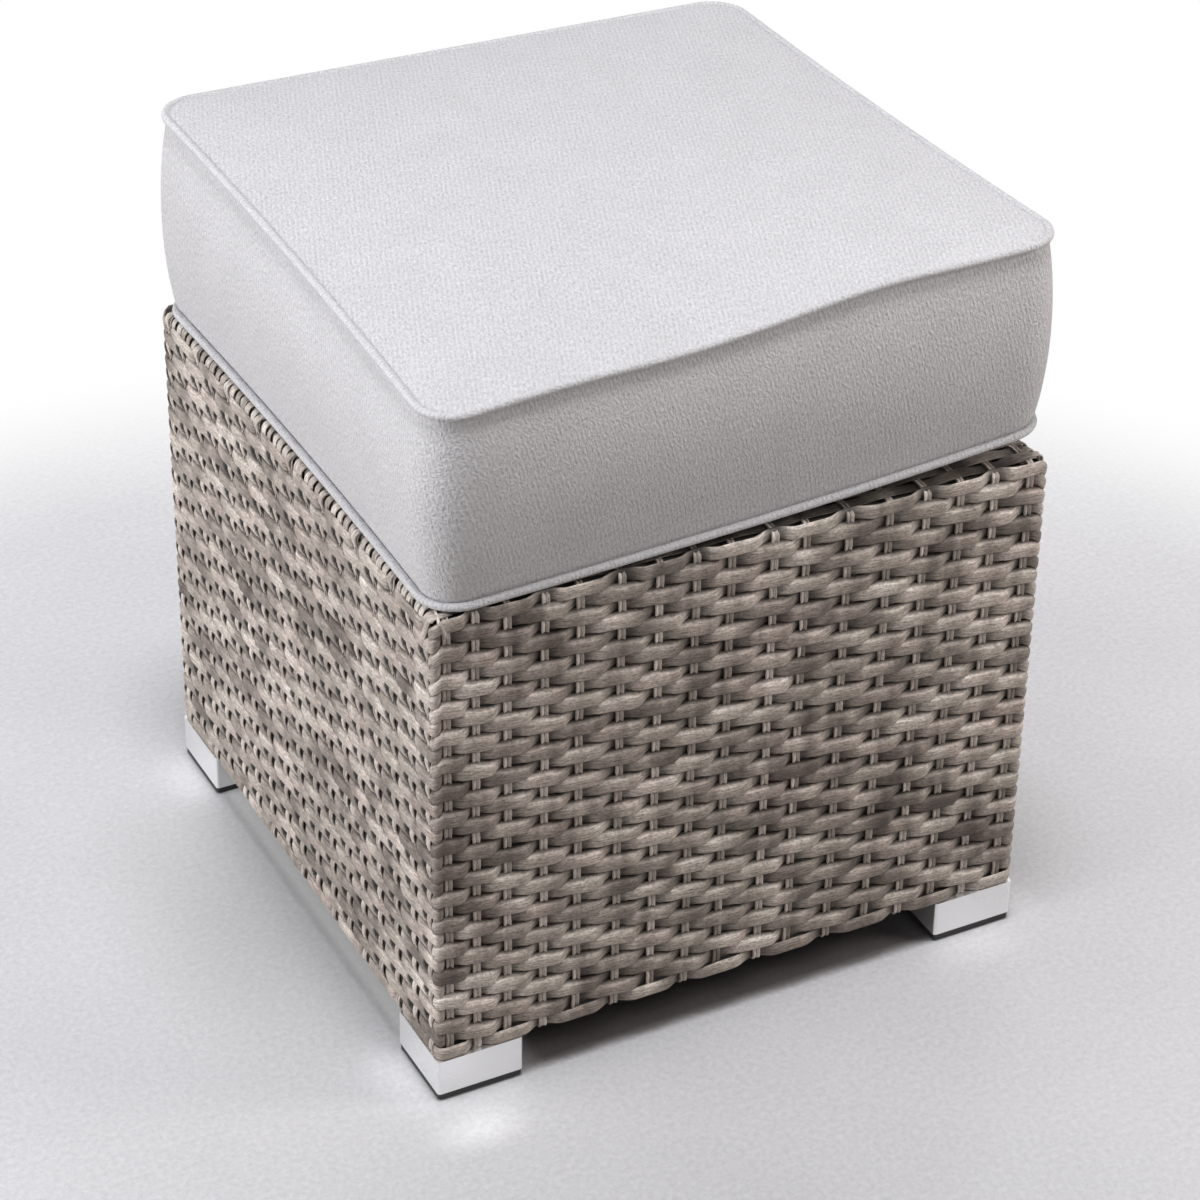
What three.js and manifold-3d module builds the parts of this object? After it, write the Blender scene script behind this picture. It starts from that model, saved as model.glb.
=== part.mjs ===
// Outdoor ottoman footstool: a frame of square tube inside a skin of woven wicker, on four metal feet,
// with a loose piped cushion on the woven deck. Millimetres, +Z up.
// The origin is on the floor under the middle of the stool. -Y is the front and -X the left.

import * as THREE from "three";
import { mergeVertices } from "three/addons/utils/BufferGeometryUtils.js";
import Module from "manifold-3d";

const wasm = await Module();
wasm.setup();

// Whole stool
const bodyWidth = 400; // left to right over the wicker
const bodyDepth = 400; // front to back over the wicker
const bodyHeight = 340; // floor to the top of the wicker
const footHeight = 30; // floor to the lower edge of the wicker
const fitGap = 0.3; // clearance between two pieces that touch

// Woven skin: flat weft strands lie one above another and pass over and under the upright stakes
const weaveThickness = 6; // inner face to the crest of a strand
const weftPitch = 9.4;
const stakePitch = 23.75;
const firstStakeInset = 10; // corner of the stool to the nearest stake
const weftDip = 2.4; // how far a strand sinks where it passes behind a stake
const grooveDip = 2; // how far the surface sinks between two strands
const cornerRadius = 7; // bend of the strands round a corner post

// Seat deck: strands wound side by side over the seat bars
const deckThickness = 3.5;
const deckGroove = 1.2;
const deckStrandFlat = 5; // flat crown of a deck strand

// Frame
const tubeSize = 25;
const tubeWall = 1.5;
const tubeRadius = 2;
const seatBarSize = 20;
const seatBarPitch = 85;
const seatBarNames = ["left", "middle", "right"];
const bottomRailLift = 3; // lower edge of the wicker to the underside of a bottom rail

// Feet
const footWidth = 56;
const footWall = 4.5;
const footRadius = 2;
const glideHeight = 5;
const glideInset = 0.5; // foot's side to the glide's side
const glideBevel = 1;
const glidePlugHeight = 11; // what the glide pushes up into the foot
const insertHeight = 24;
const screwRadius = 4;
const screwLength = 24; // under the head
const screwHeadRadius = 7;
const screwHeadHeight = 5;
const screwSocketRadius = 2.9;
const screwSocketDepth = 3;

// Cushion, measured at the seams that the piping follows
const cushionSetback = 3; // side of the wicker to the seam
const cushionWidth = bodyWidth - 2 * cushionSetback;
const cushionDepth = bodyDepth - 2 * cushionSetback;
const seamHeight = 127; // lower piping to upper piping
const seamRadius = 22;
const pipingRadius = 3;
const clothThickness = 1.2;
const cushionCrown = 11; // how far the top rises above its seam
const sideBulge = 7; // how far the side band swells past the seams
const sideDrawIn = 3; // how far a seam pulls in between two corners
const foamEase = 1.8; // foam's side to the side band
const foamShoulder = 6; // seam to the foam's upper and lower edge
// How far each corner stands above or below the even cushion, as it lies on the stool
const topCornerLift = { frontLeft: -8, frontRight: 14, backRight: 1, backLeft: 8 };
const bottomCornerLift = { frontLeft: 0, frontRight: 19, backRight: 0, backLeft: 2 };
const topLiftPower = 1; // 1 spreads a corner's lift evenly along the sides
const bottomLiftPower = 2.5; // more than 1 keeps it near the corner

// Zip in the back of the side band
const zipHalfShare = 0.88; // of the straight part of the back seam
const zipLowShare = 0.1; // of the side band's height
const zipHighShare = 0.17;
const tapeLapWidth = 5; // tape behind the edge of its window
const tapeThickness = 0.8;
const coilHeight = 4;
const coilThickness = 1.2;
const zipEndInset = 9; // end of the window to the middle of the closed slider
const sliderLength = 9;
const sliderHeight = 8;
const sliderThickness = 2.2;
const bridgeLength = 7.2;
const bridgeWidth = 1.6;
const bridgeWall = 0.9;
const bridgeOpening = 1.5; // slider to the underside of its bridge
const pullBar = 0.8;
const pullLoopLength = 4.6; // pivot to the tab
const pullArmSpread = 2.2; // pivot's middle to an arm
const pullTabLength = 17;
const pullTabHeight = 5.6;

// Facets
const arcSteps = 2;
const tubeArcSteps = 1;
const roundSteps = 12;
const seamCornerSteps = 4;
const pipingSides = 5;
const overrun = 1; // how far a cutter runs past what it cuts

const wickerMaterial = finish("#9c9088", 0.75, 0);
const frameMaterial = finish("#4c4846", 0.55, 0.3);
const footMaterial = finish("#c9cacc", 0.3, 0.9);
const plasticMaterial = finish("#1d1d1e", 0.6, 0);
const steelMaterial = finish("#9fa2a5", 0.35, 0.9);
const clothMaterial = finish("#d3d2d6", 0.95, 0);
const pipingMaterial = finish("#dad9dd", 0.95, 0);
const foamMaterial = finish("#e8e3d2", 0.9, 0);
const zipMaterial = finish("#b9b8bc", 0.8, 0);

function finish(color, roughness, metalness) {
  return new THREE.MeshStandardMaterial({ color, roughness, metalness });
}

// Shapes

function roundedSquare(width, depth, radius) {
  const x = width / 2 - radius;
  const y = depth / 2 - radius;
  const shape = new THREE.Shape();
  shape.absarc(x, y, radius, 0, Math.PI / 2);
  shape.absarc(-x, y, radius, Math.PI / 2, Math.PI);
  shape.absarc(-x, -y, radius, Math.PI, Math.PI * 1.5);
  shape.absarc(x, -y, radius, Math.PI * 1.5, Math.PI * 2);
  return shape;
}

function rectanglePath(width, depth) {
  const path = new THREE.Path();
  path.moveTo(-width / 2, -depth / 2);
  path.lineTo(width / 2, -depth / 2);
  path.lineTo(width / 2, depth / 2);
  path.lineTo(-width / 2, depth / 2);
  path.closePath();
  return path;
}

function withHole(shape, hole) {
  shape.holes.push(hole);
  return shape;
}

function squareTube(size) {
  const inside = size - 2 * tubeWall;
  return withHole(roundedSquare(size, size, tubeRadius), rectanglePath(inside, inside));
}

function extrude(shape, length, curveSegments = arcSteps) {
  return new THREE.ExtrudeGeometry(shape, { depth: length, bevelEnabled: false, curveSegments });
}

function extrudeTube(size, length) {
  return extrude(squareTube(size), length, tubeArcSteps);
}

// An extrusion of a shape drawn in Y and Z, centred along X.
function alongX(extrusion, length) {
  const turn = new THREE.Matrix4().makeBasis(
    new THREE.Vector3(0, 1, 0),
    new THREE.Vector3(0, 0, 1),
    new THREE.Vector3(1, 0, 0),
  );
  return extrusion.translate(0, 0, -length / 2).applyMatrix4(turn);
}

// An extrusion of a shape drawn in Z and X, centred along Y.
function alongY(extrusion, length) {
  const turn = new THREE.Matrix4().makeBasis(
    new THREE.Vector3(0, 0, 1),
    new THREE.Vector3(1, 0, 0),
    new THREE.Vector3(0, 1, 0),
  );
  return extrusion.translate(0, 0, -length / 2).applyMatrix4(turn);
}

// Solids

function closedGeometry(points, triangles) {
  const geometry = new THREE.BufferGeometry();
  geometry.setAttribute("position", new THREE.Float32BufferAttribute(points.flat(), 3));
  geometry.setIndex(triangles.flat());
  return geometry;
}

function toSolid(geometry) {
  const bare = geometry.clone();
  bare.deleteAttribute("normal");
  bare.deleteAttribute("uv");
  const merged = mergeVertices(bare);
  return new wasm.Manifold(
    new wasm.Mesh({
      numProp: 3,
      vertProperties: new Float32Array(merged.attributes.position.array),
      triVerts: new Uint32Array(merged.index.array),
    }),
  );
}

function toGeometry(solid) {
  const mesh = solid.getMesh();
  const geometry = new THREE.BufferGeometry();
  geometry.setAttribute("position", new THREE.Float32BufferAttribute(mesh.vertProperties, 3));
  geometry.setIndex(Array.from(mesh.triVerts));
  return geometry;
}

function joined(first, ...others) {
  return toGeometry(others.reduce((sum, each) => sum.add(toSolid(each)), toSolid(first)));
}

function cutFrom(first, ...cutters) {
  return toGeometry(cutters.reduce((rest, each) => rest.subtract(toSolid(each)), toSolid(first)));
}

function block(width, depth, height, x, y, z) {
  return new THREE.BoxGeometry(width, depth, height).translate(x, y, z);
}

// Triangles of a flat face whose corners, in order, are the numbered points. They face along the normal.
function flatFace(points, loop, normal) {
  const across = new THREE.Vector3(0, 0, 1).cross(normal);
  if (across.lengthSq() === 0) across.set(1, 0, 0);
  across.normalize();
  const up = normal.clone().cross(across);
  const corners = loop.map((index) => new THREE.Vector3(...points[index]));
  const flat = corners.map((corner) => new THREE.Vector2(corner.dot(across), corner.dot(up)));
  const faces = THREE.ShapeUtils.triangulateShape(flat, []);
  return faces.map(([a, b, c]) => {
    const turns = flat[b].clone().sub(flat[a]).cross(flat[c].clone().sub(flat[a]));
    return turns > 0 ? [loop[a], loop[b], loop[c]] : [loop[a], loop[c], loop[b]];
  });
}

// A solid sheet between a front and a back grid of points, both with the same rows and columns.
// With wraps, the columns close into a ring. isOpen(row, column) leaves a window in the sheet.
function sheetGeometry(front, back, { wraps = false, isOpen = () => false } = {}) {
  const rows = front.length;
  const columns = front[0].length;
  const cells = wraps ? columns : columns - 1;
  const points = [...front.flat(), ...back.flat()];
  const triangles = [];
  const at = (row, column) => row * columns + (column % columns);
  const quad = (a, b, c, d) => triangles.push([a, b, c], [a, c, d]);
  const filled = (row, column) => {
    if (row < 0 || row >= rows - 1) return false;
    if (!wraps && (column < 0 || column >= cells)) return false;
    return !isOpen(row, (column + cells) % cells);
  };
  for (let row = 0; row < rows - 1; row += 1) {
    for (let column = 0; column < cells; column += 1) {
      if (!filled(row, column)) continue;
      const [a, b] = [at(row, column), at(row, column + 1)];
      const [c, d] = [at(row + 1, column + 1), at(row + 1, column)];
      const behind = (point) => point + rows * columns;
      quad(a, b, c, d);
      quad(behind(a), behind(d), behind(c), behind(b));
      if (!filled(row - 1, column)) quad(b, a, behind(a), behind(b));
      if (!filled(row + 1, column)) quad(d, c, behind(c), behind(d));
      if (!filled(row, column - 1)) quad(a, d, behind(d), behind(a));
      if (!filled(row, column + 1)) quad(c, b, behind(b), behind(c));
    }
  }
  return closedGeometry(points, triangles);
}

// A closed skin through rings of points, from the middle of the underside to the middle of the top.
// Each diagonal runs outwards and forwards, so that nested skins are cut into the same triangles.
function ringedGeometry(lowMiddle, rings, highMiddle) {
  const columns = rings[0].length;
  const points = [lowMiddle, ...rings.flat(), highMiddle];
  const triangles = [];
  const at = (ring, column) => 1 + ring * columns + (column % columns);
  const lastRing = rings.length - 1;
  const reach = (ring) => Math.hypot(rings[ring][0][0], rings[ring][0][1]);
  for (let column = 0; column < columns; column += 1) {
    triangles.push([0, at(0, column + 1), at(0, column)]);
    triangles.push([points.length - 1, at(lastRing, column), at(lastRing, column + 1)]);
    for (let ring = 0; ring < lastRing; ring += 1) {
      const [a, b] = [at(ring, column), at(ring, column + 1)];
      const [c, d] = [at(ring + 1, column + 1), at(ring + 1, column)];
      const widens = reach(ring + 1) > reach(ring);
      triangles.push(...(widens ? [[a, b, c], [a, c, d]] : [[a, b, d], [b, c, d]]));
    }
  }
  return closedGeometry(points, triangles);
}

const stool = new THREE.Group();

function addPiece(name, geometry, material, x = 0, y = 0, z = 0, turn = 0) {
  const mesh = new THREE.Mesh(geometry, material);
  mesh.name = name;
  mesh.position.set(x, y, z);
  mesh.rotation.z = turn;
  stool.add(mesh);
  return mesh;
}

const corners = [
  { name: "front_left", x: -1, y: -1 },
  { name: "front_right", x: 1, y: -1 },
  { name: "back_right", x: 1, y: 1 },
  { name: "back_left", x: -1, y: 1 },
];

// Sides in order round the stool: each is drawn as a front and turned into place.
const sides = [
  { name: "front", length: bodyWidth, reach: bodyDepth / 2, turn: 0 },
  { name: "right", length: bodyDepth, reach: bodyWidth / 2, turn: Math.PI / 2 },
  { name: "back", length: bodyWidth, reach: bodyDepth / 2, turn: Math.PI },
  { name: "left", length: bodyDepth, reach: bodyWidth / 2, turn: -Math.PI / 2 },
];

// Frame
const frameInset = weaveThickness + fitGap; // outer face of the wicker to the frame
const frameTop = bodyHeight - deckThickness - fitGap;
const postX = bodyWidth / 2 - frameInset - tubeSize / 2;
const postY = bodyDepth / 2 - frameInset - tubeSize / 2;

function addFrame() {
  const postLength = frameTop - footHeight;
  for (const { name, x, y } of corners) {
    const post = extrudeTube(tubeSize, postLength);
    addPiece("post_" + name, post, frameMaterial, x * postX, y * postY, footHeight);
  }
  const topZ = frameTop - tubeSize / 2;
  const bottomZ = footHeight + bottomRailLift + tubeSize / 2;
  const railWidth = 2 * postX - tubeSize - 2 * fitGap;
  const railDepth = 2 * postY - tubeSize - 2 * fitGap;
  for (const [level, z] of [["top", topZ], ["bottom", bottomZ]]) {
    const wide = alongX(extrudeTube(tubeSize, railWidth), railWidth);
    const deep = alongY(extrudeTube(tubeSize, railDepth), railDepth);
    addPiece(level + "_rail_front", wide, frameMaterial, 0, -postY, z);
    addPiece(level + "_rail_back", wide, frameMaterial, 0, postY, z);
    addPiece(level + "_rail_left", deep, frameMaterial, -postX, 0, z);
    addPiece(level + "_rail_right", deep, frameMaterial, postX, 0, z);
  }
  seatBarNames.forEach((name, index) => {
    const x = (index - (seatBarNames.length - 1) / 2) * seatBarPitch;
    const bar = alongY(extrudeTube(seatBarSize, railDepth), railDepth);
    addPiece("seat_bar_" + name, bar, frameMaterial, x, 0, frameTop - seatBarSize / 2);
  });
}

// Feet: a cup screwed to the insert in each post, closed below by its glide
const cupBase = glideHeight + fitGap;
const cupTop = footHeight - fitGap;
const cupInside = footWidth - 2 * footWall;
const footX = bodyWidth / 2 - footWidth / 2;
const footY = bodyDepth / 2 - footWidth / 2;

function addFeet() {
  const plugSize = cupInside - 2 * fitGap;
  const plug = block(plugSize, plugSize, glidePlugHeight, 0, 0, glideHeight + glidePlugHeight / 2);
  const glide = joined(glideBase(), plug);
  const insertSize = tubeSize - 2 * tubeWall - 2 * fitGap;
  const insertBlock = block(insertSize, insertSize, insertHeight, 0, 0, insertHeight / 2);
  const insert = cutFrom(insertBlock, screwHole(insertHeight));
  const headZ = cupTop - footWall - fitGap;
  for (const { name, x, y } of corners) {
    const cup = footCup(x * (postX - footX), y * (postY - footY));
    addPiece("foot_" + name, cup, footMaterial, x * footX, y * footY);
    addPiece("glide_" + name, glide, plasticMaterial, x * footX, y * footY);
    addPiece("post_insert_" + name, insert, plasticMaterial, x * postX, y * postY, footHeight);
    addPiece("foot_screw_" + name, screw(), steelMaterial, x * postX, y * postY, headZ);
  }
}

// Open below, with the hole for its screw under the post
function footCup(holeX, holeY) {
  const body = extrude(roundedSquare(footWidth, footWidth, footRadius), cupTop - cupBase);
  const cavityHeight = cupTop - footWall - cupBase + overrun;
  const cavity = block(cupInside, cupInside, cavityHeight, 0, 0, cupTop - footWall - cavityHeight / 2);
  const hole = screwHole(footWall).translate(holeX, holeY, cupTop - footWall);
  return cutFrom(body.translate(0, 0, cupBase), cavity, hole);
}

// A cutter for a hole up from the origin through a depth
function screwHole(depth) {
  const radius = screwRadius + fitGap;
  const cutter = new THREE.CylinderGeometry(radius, radius, depth + 2 * overrun, roundSteps);
  return cutter.rotateX(Math.PI / 2).translate(0, 0, depth / 2);
}

// The glide's square base, with its lower edge bevelled and its underside on the floor
function glideBase() {
  const full = footWidth - 2 * glideInset;
  const upper = roundedSquare(full, full, footRadius);
  const lower = roundedSquare(full - 2 * glideBevel, full - 2 * glideBevel, footRadius);
  const ring = (shape, z) => shape.getPoints(arcSteps).slice(0, -1).map(({ x, y }) => [x, y, z]);
  const rings = [ring(lower, 0), ring(upper, glideBevel), ring(upper, glideHeight)];
  return ringedGeometry([0, 0, 0], rings, [0, 0, glideHeight]);
}

// Origin at the seat of the head. The shank points up.
function screw() {
  const profile = [
    [0, -screwHeadHeight + screwSocketDepth],
    [screwSocketRadius, -screwHeadHeight + screwSocketDepth],
    [screwSocketRadius, -screwHeadHeight],
    [screwHeadRadius, -screwHeadHeight],
    [screwHeadRadius, 0],
    [screwRadius, 0],
    [screwRadius, screwLength],
    [0, screwLength],
  ];
  const lathe = new THREE.LatheGeometry(profile.map(([r, z]) => new THREE.Vector2(r, z)), roundSteps);
  return lathe.rotateX(Math.PI / 2);
}

// Wicker

// One side drawn as a front: its crest lies at y = -reach, and each end is mitred at a corner post.
// The grid has a line along each strand's crest and each groove, and a column at each stake.
function wovenSide(length, reach) {
  const rows = Math.round((bodyHeight - footHeight) / weftPitch);
  const rowHeight = (bodyHeight - footHeight) / rows;
  const stakes = 1 + Math.round((length - 2 * firstStakeInset) / stakePitch);
  const stakeStep = (length - 2 * firstStakeInset) / (stakes - 1);
  const lines = 2 * rows + 1;
  const columns = stakes + 2;
  const cornerInset = cornerRadius * (1 - Math.SQRT1_2);
  const mitreX = (depth) => length / 2 - depth - fitGap * Math.SQRT1_2;
  const points = [];
  for (let line = 0; line < lines; line += 1) {
    const z = footHeight + (line * rowHeight) / 2;
    const isCrest = line % 2 === 1;
    const row = (line - 1) / 2;
    const cornerDepth = isCrest ? cornerInset : cornerInset + grooveDip * Math.SQRT1_2;
    points.push([-mitreX(cornerDepth), cornerDepth - reach, z]);
    for (let stake = 0; stake < stakes; stake += 1) {
      const isUnder = (row + stake) % 2 === 0;
      const crestDepth = isUnder ? weftDip : 0;
      const x = stake * stakeStep + firstStakeInset - length / 2;
      points.push([x, (isCrest ? crestDepth : grooveDip) - reach, z]);
    }
    points.push([mitreX(cornerDepth), cornerDepth - reach, z]);
  }
  const at = (line, column) => line * columns + column;
  const triangles = [];
  for (let line = 0; line < lines - 1; line += 1) {
    for (let column = 0; column < columns - 1; column += 1) {
      triangles.push([at(line, column), at(line, column + 1), at(line + 1, column + 1)]);
      triangles.push([at(line, column), at(line + 1, column + 1), at(line + 1, column)]);
    }
  }
  const back = points.length;
  for (const [x, z] of [[-1, footHeight], [1, footHeight], [1, bodyHeight], [-1, bodyHeight]]) {
    points.push([x * mitreX(weaveThickness), weaveThickness - reach, z]);
  }
  const along = (line) => Array.from({ length: columns }, (_, column) => at(line, column));
  const upward = (column) => Array.from({ length: lines }, (_, line) => at(line, column));
  const faces = [
    [[back, back + 1, back + 2, back + 3], new THREE.Vector3(0, 1, 0)],
    [[...along(0), back + 1, back], new THREE.Vector3(0, 0, -1)],
    [[...along(lines - 1), back + 2, back + 3], new THREE.Vector3(0, 0, 1)],
    [[...upward(0), back + 3, back], new THREE.Vector3(-1, 1, 0).normalize()],
    [[...upward(columns - 1), back + 2, back + 1], new THREE.Vector3(1, 1, 0).normalize()],
  ];
  for (const [loop, normal] of faces) triangles.push(...flatFace(points, loop, normal));
  return closedGeometry(points, triangles);
}

// Strands side by side, each with a flat crown, drawn across the deck and run from left to right
function wovenDeck() {
  const span = bodyDepth - 2 * frameInset;
  const strands = Math.round(span / weftPitch);
  const pitch = span / strands;
  const shape = new THREE.Shape();
  shape.moveTo(-span / 2, 0);
  shape.lineTo(span / 2, 0);
  shape.lineTo(span / 2, deckThickness - deckGroove);
  for (let strand = strands - 1; strand >= 0; strand -= 1) {
    const middle = (strand + 0.5) * pitch - span / 2;
    shape.lineTo(middle + deckStrandFlat / 2, deckThickness);
    shape.lineTo(middle - deckStrandFlat / 2, deckThickness);
    shape.lineTo(middle - pitch / 2, deckThickness - deckGroove);
  }
  const width = bodyWidth - 2 * frameInset;
  return alongX(extrude(shape, width), width);
}

function addWicker() {
  for (const { name, length, reach, turn } of sides) {
    addPiece("woven_" + name, wovenSide(length, reach), wickerMaterial, 0, 0, 0, turn);
  }
  addPiece("woven_deck", wovenDeck(), wickerMaterial, 0, 0, frameTop + fitGap);
}

// Cushion
const lowSeamZ = bodyHeight + fitGap + pipingRadius;
const highSeamZ = lowSeamZ + seamHeight;
const seamClear = pipingRadius + fitGap;
const bandLowZ = lowSeamZ + seamClear;
const bandHighZ = highSeamZ - seamClear;

// Sides of the seam in order: outward normal, how far it draws in. The back stays straight for its zip.
const seamSides = [
  { normal: [0, -1], drawIn: sideDrawIn },
  { normal: [1, 0], drawIn: sideDrawIn },
  { normal: [0, 1], drawIn: 0 },
  { normal: [-1, 0], drawIn: sideDrawIn },
];
const sideShares = [-1, -zipHalfShare, 0, zipHalfShare, 1];
const columnsPerSide = sideShares.length + seamCornerSteps - 1;

// A closed row of points at an even distance inside the seam, each with its outward direction
function seamRow(inset) {
  const radius = seamRadius - inset;
  const row = [];
  for (const { normal: [nx, ny], drawIn } of seamSides) {
    const [tx, ty] = [-ny, nx];
    const isWide = nx === 0;
    const reach = (isWide ? cushionDepth : cushionWidth) / 2 - inset;
    const straight = (isWide ? cushionWidth : cushionDepth) / 2 - seamRadius;
    for (const share of sideShares) {
      const out = reach - drawIn * (1 - share * share);
      const along = share * straight;
      row.push({ x: nx * out + tx * along, y: ny * out + ty * along, nx, ny });
    }
    for (let step = 1; step < seamCornerSteps; step += 1) {
      const angle = (step / seamCornerSteps) * (Math.PI / 2);
      const dx = nx * Math.cos(angle) + tx * Math.sin(angle);
      const dy = ny * Math.cos(angle) + ty * Math.sin(angle);
      const x = nx * (reach - radius) + tx * straight + dx * radius;
      const y = ny * (reach - radius) + ty * straight + dy * radius;
      row.push({ x, y, nx: dx, ny: dy });
    }
  }
  return row;
}

function cornerLift(lifts, power, x, y) {
  const right = 0.5 + x / cushionWidth;
  const back = 0.5 + y / cushionDepth;
  const near = (a, b) => Math.max(a * b, 0) ** power;
  return (
    lifts.frontLeft * near(1 - right, 1 - back) +
    lifts.frontRight * near(right, 1 - back) +
    lifts.backRight * near(right, back) +
    lifts.backLeft * near(1 - right, back)
  );
}

// A point of the cushion as it lies, from its place in an even cushion
function laid(x, y, z) {
  const share = THREE.MathUtils.clamp((z - lowSeamZ) / seamHeight, 0, 1);
  const low = cornerLift(bottomCornerLift, bottomLiftPower, x, y) * (1 - share);
  const high = cornerLift(topCornerLift, topLiftPower, x, y) * share * share;
  return [x, y, z + low + high];
}

function laidRow(inset, z) {
  return seamRow(inset).map(({ x, y }) => laid(x, y, z));
}

// A row drawn towards the middle by a share, with its height given by that share
function scaledRow(inset, share, z) {
  return seamRow(inset).map(({ x, y }) => laid(x * share, y * share, z));
}

function bulgeAt(share) {
  return 4 * sideBulge * share * (1 - share);
}

const bandShares = [0, zipLowShare, zipHighShare, 0.33, 0.6, 1];

// Rows of the side band at a depth under its outer face
function bandRows(depth, shares = bandShares) {
  return shares.map((share) => laidRow(depth - bulgeAt(share), bandZ(share)));
}

function bandZ(share) {
  return THREE.MathUtils.lerp(bandLowZ, bandHighZ, share);
}

const backSide = 2;
const firstZipColumn = backSide * columnsPerSide + 1;
const lastZipColumn = firstZipColumn + 2;

function addCover() {
  const zipRow = bandShares.indexOf(zipLowShare);
  const isOpen = (row, column) => row === zipRow && column >= firstZipColumn && column < lastZipColumn;
  const band = sheetGeometry(bandRows(0), bandRows(clothThickness), { wraps: true, isOpen });
  addPiece("cover_side_band", band, clothMaterial);
  addPiece("cover_top", coverTop(), clothMaterial);
  addPiece("cover_bottom", coverBottom(), clothMaterial);
  addPiece("piping_top", pipingLoop(highSeamZ), pipingMaterial);
  addPiece("piping_bottom", pipingLoop(lowSeamZ), pipingMaterial);
}

const crownShares = [1, 0.86, 0.6, 0.3];

function crownAt(share) {
  return cushionCrown * (1 - share ** 3);
}

function coverTop() {
  const level = (share, drop) => highSeamZ + clothThickness / 2 + crownAt(share) - drop;
  const row = (share, drop) => scaledRow(seamClear, share, level(share, drop));
  const under = [...crownShares].reverse().map((share) => row(share, clothThickness));
  const over = crownShares.map((share) => row(share, 0));
  const middle = (drop) => laid(0, 0, level(0, drop));
  return ringedGeometry(middle(clothThickness), [...under, ...over], middle(0));
}

const sagShares = [1, 0.85];

// The underside lies flat on the deck inside its outer ring
function coverBottom() {
  const flatZ = bodyHeight + fitGap;
  const edgeZ = lowSeamZ - clothThickness / 2;
  const level = (share, rise) => (share === 1 ? edgeZ : flatZ) + rise;
  const row = (share, rise) => scaledRow(seamClear, share, level(share, rise));
  const under = [...sagShares].reverse().map((share) => row(share, 0));
  const over = sagShares.map((share) => row(share, clothThickness));
  const middle = (rise) => laid(0, 0, level(0, rise));
  return ringedGeometry(middle(0), [...under, ...over], middle(clothThickness));
}

// A cord sewn into the seam, all the way round
function pipingLoop(z) {
  const row = seamRow(0);
  const points = row.flatMap(({ x, y, nx, ny }) => {
    const centre = laid(x, y, z);
    return Array.from({ length: pipingSides }, (_, side) => {
      const angle = (side / pipingSides) * Math.PI * 2;
      const out = pipingRadius * Math.cos(angle);
      return [centre[0] + nx * out, centre[1] + ny * out, centre[2] + pipingRadius * Math.sin(angle)];
    });
  });
  const at = (column, side) => (column % row.length) * pipingSides + (side % pipingSides);
  const triangles = [];
  for (let column = 0; column < row.length; column += 1) {
    for (let side = 0; side < pipingSides; side += 1) {
      triangles.push([at(column, side), at(column + 1, side), at(column + 1, side + 1)]);
      triangles.push([at(column, side), at(column + 1, side + 1), at(column, side + 1)]);
    }
  }
  return closedGeometry(points, triangles);
}

function addFoam() {
  const lowZ = bodyHeight + fitGap + clothThickness + fitGap;
  const highZ = bandHighZ - clothThickness;
  const middleZ = (lowSeamZ + highSeamZ) / 2;
  const drop = clothThickness + fitGap;
  const top = (share) => highSeamZ + clothThickness / 2 + crownAt(share) - drop;
  const rings = [
    scaledRow(foamShoulder, sagShares[1], lowZ),
    laidRow(foamShoulder, lowSeamZ + clothThickness),
    laidRow(clothThickness + foamEase - sideBulge, middleZ),
    laidRow(foamShoulder, highZ),
    ...crownShares.slice(1).map((share) => scaledRow(seamClear, share, top(share))),
  ];
  const foam = ringedGeometry(laid(0, 0, lowZ), rings, laid(0, 0, top(0)));
  addPiece("foam_core", foam, foamMaterial);
}

// Zip: the tape is sewn behind its window, and the coil lies in the window
function addZip() {
  const tapeDepth = clothThickness + fitGap;
  const lapShare = tapeLapWidth / (bandHighZ - bandLowZ);
  const shares = [zipLowShare - lapShare, zipLowShare, zipHighShare, zipHighShare + lapShare];
  const cut = (rows) => rows.map((row) => row.slice(firstZipColumn, lastZipColumn + 1));
  const [outer, inner] = [bandRows(tapeDepth, shares), bandRows(tapeDepth + tapeThickness, shares)];
  addPiece("zip_tape", sheetGeometry(cut(outer), cut(inner)), zipMaterial);

  const z = bandZ((zipLowShare + zipHighShare) / 2);
  const faceY = cushionDepth / 2 + bulgeAt(zipHighShare) - tapeDepth + fitGap + coilThickness;
  const halfLength = (cushionWidth / 2 - seamRadius) * zipHalfShare;
  const coilLength = 2 * (halfLength - fitGap);
  const coil = block(coilLength, coilThickness, coilHeight, 0, -coilThickness / 2, 0);
  addPiece("zip_coil", coil, zipMaterial, 0, faceY, z);
  const restX = halfLength - zipEndInset;
  addPiece("zip_slider", zipSlider(), steelMaterial, restX, faceY + fitGap, z);
  const pivotY = faceY + fitGap + sliderThickness + bridgeOpening / 2;
  addPiece("zip_pull", zipPull(), steelMaterial, restX, pivotY, z);
}

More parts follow.
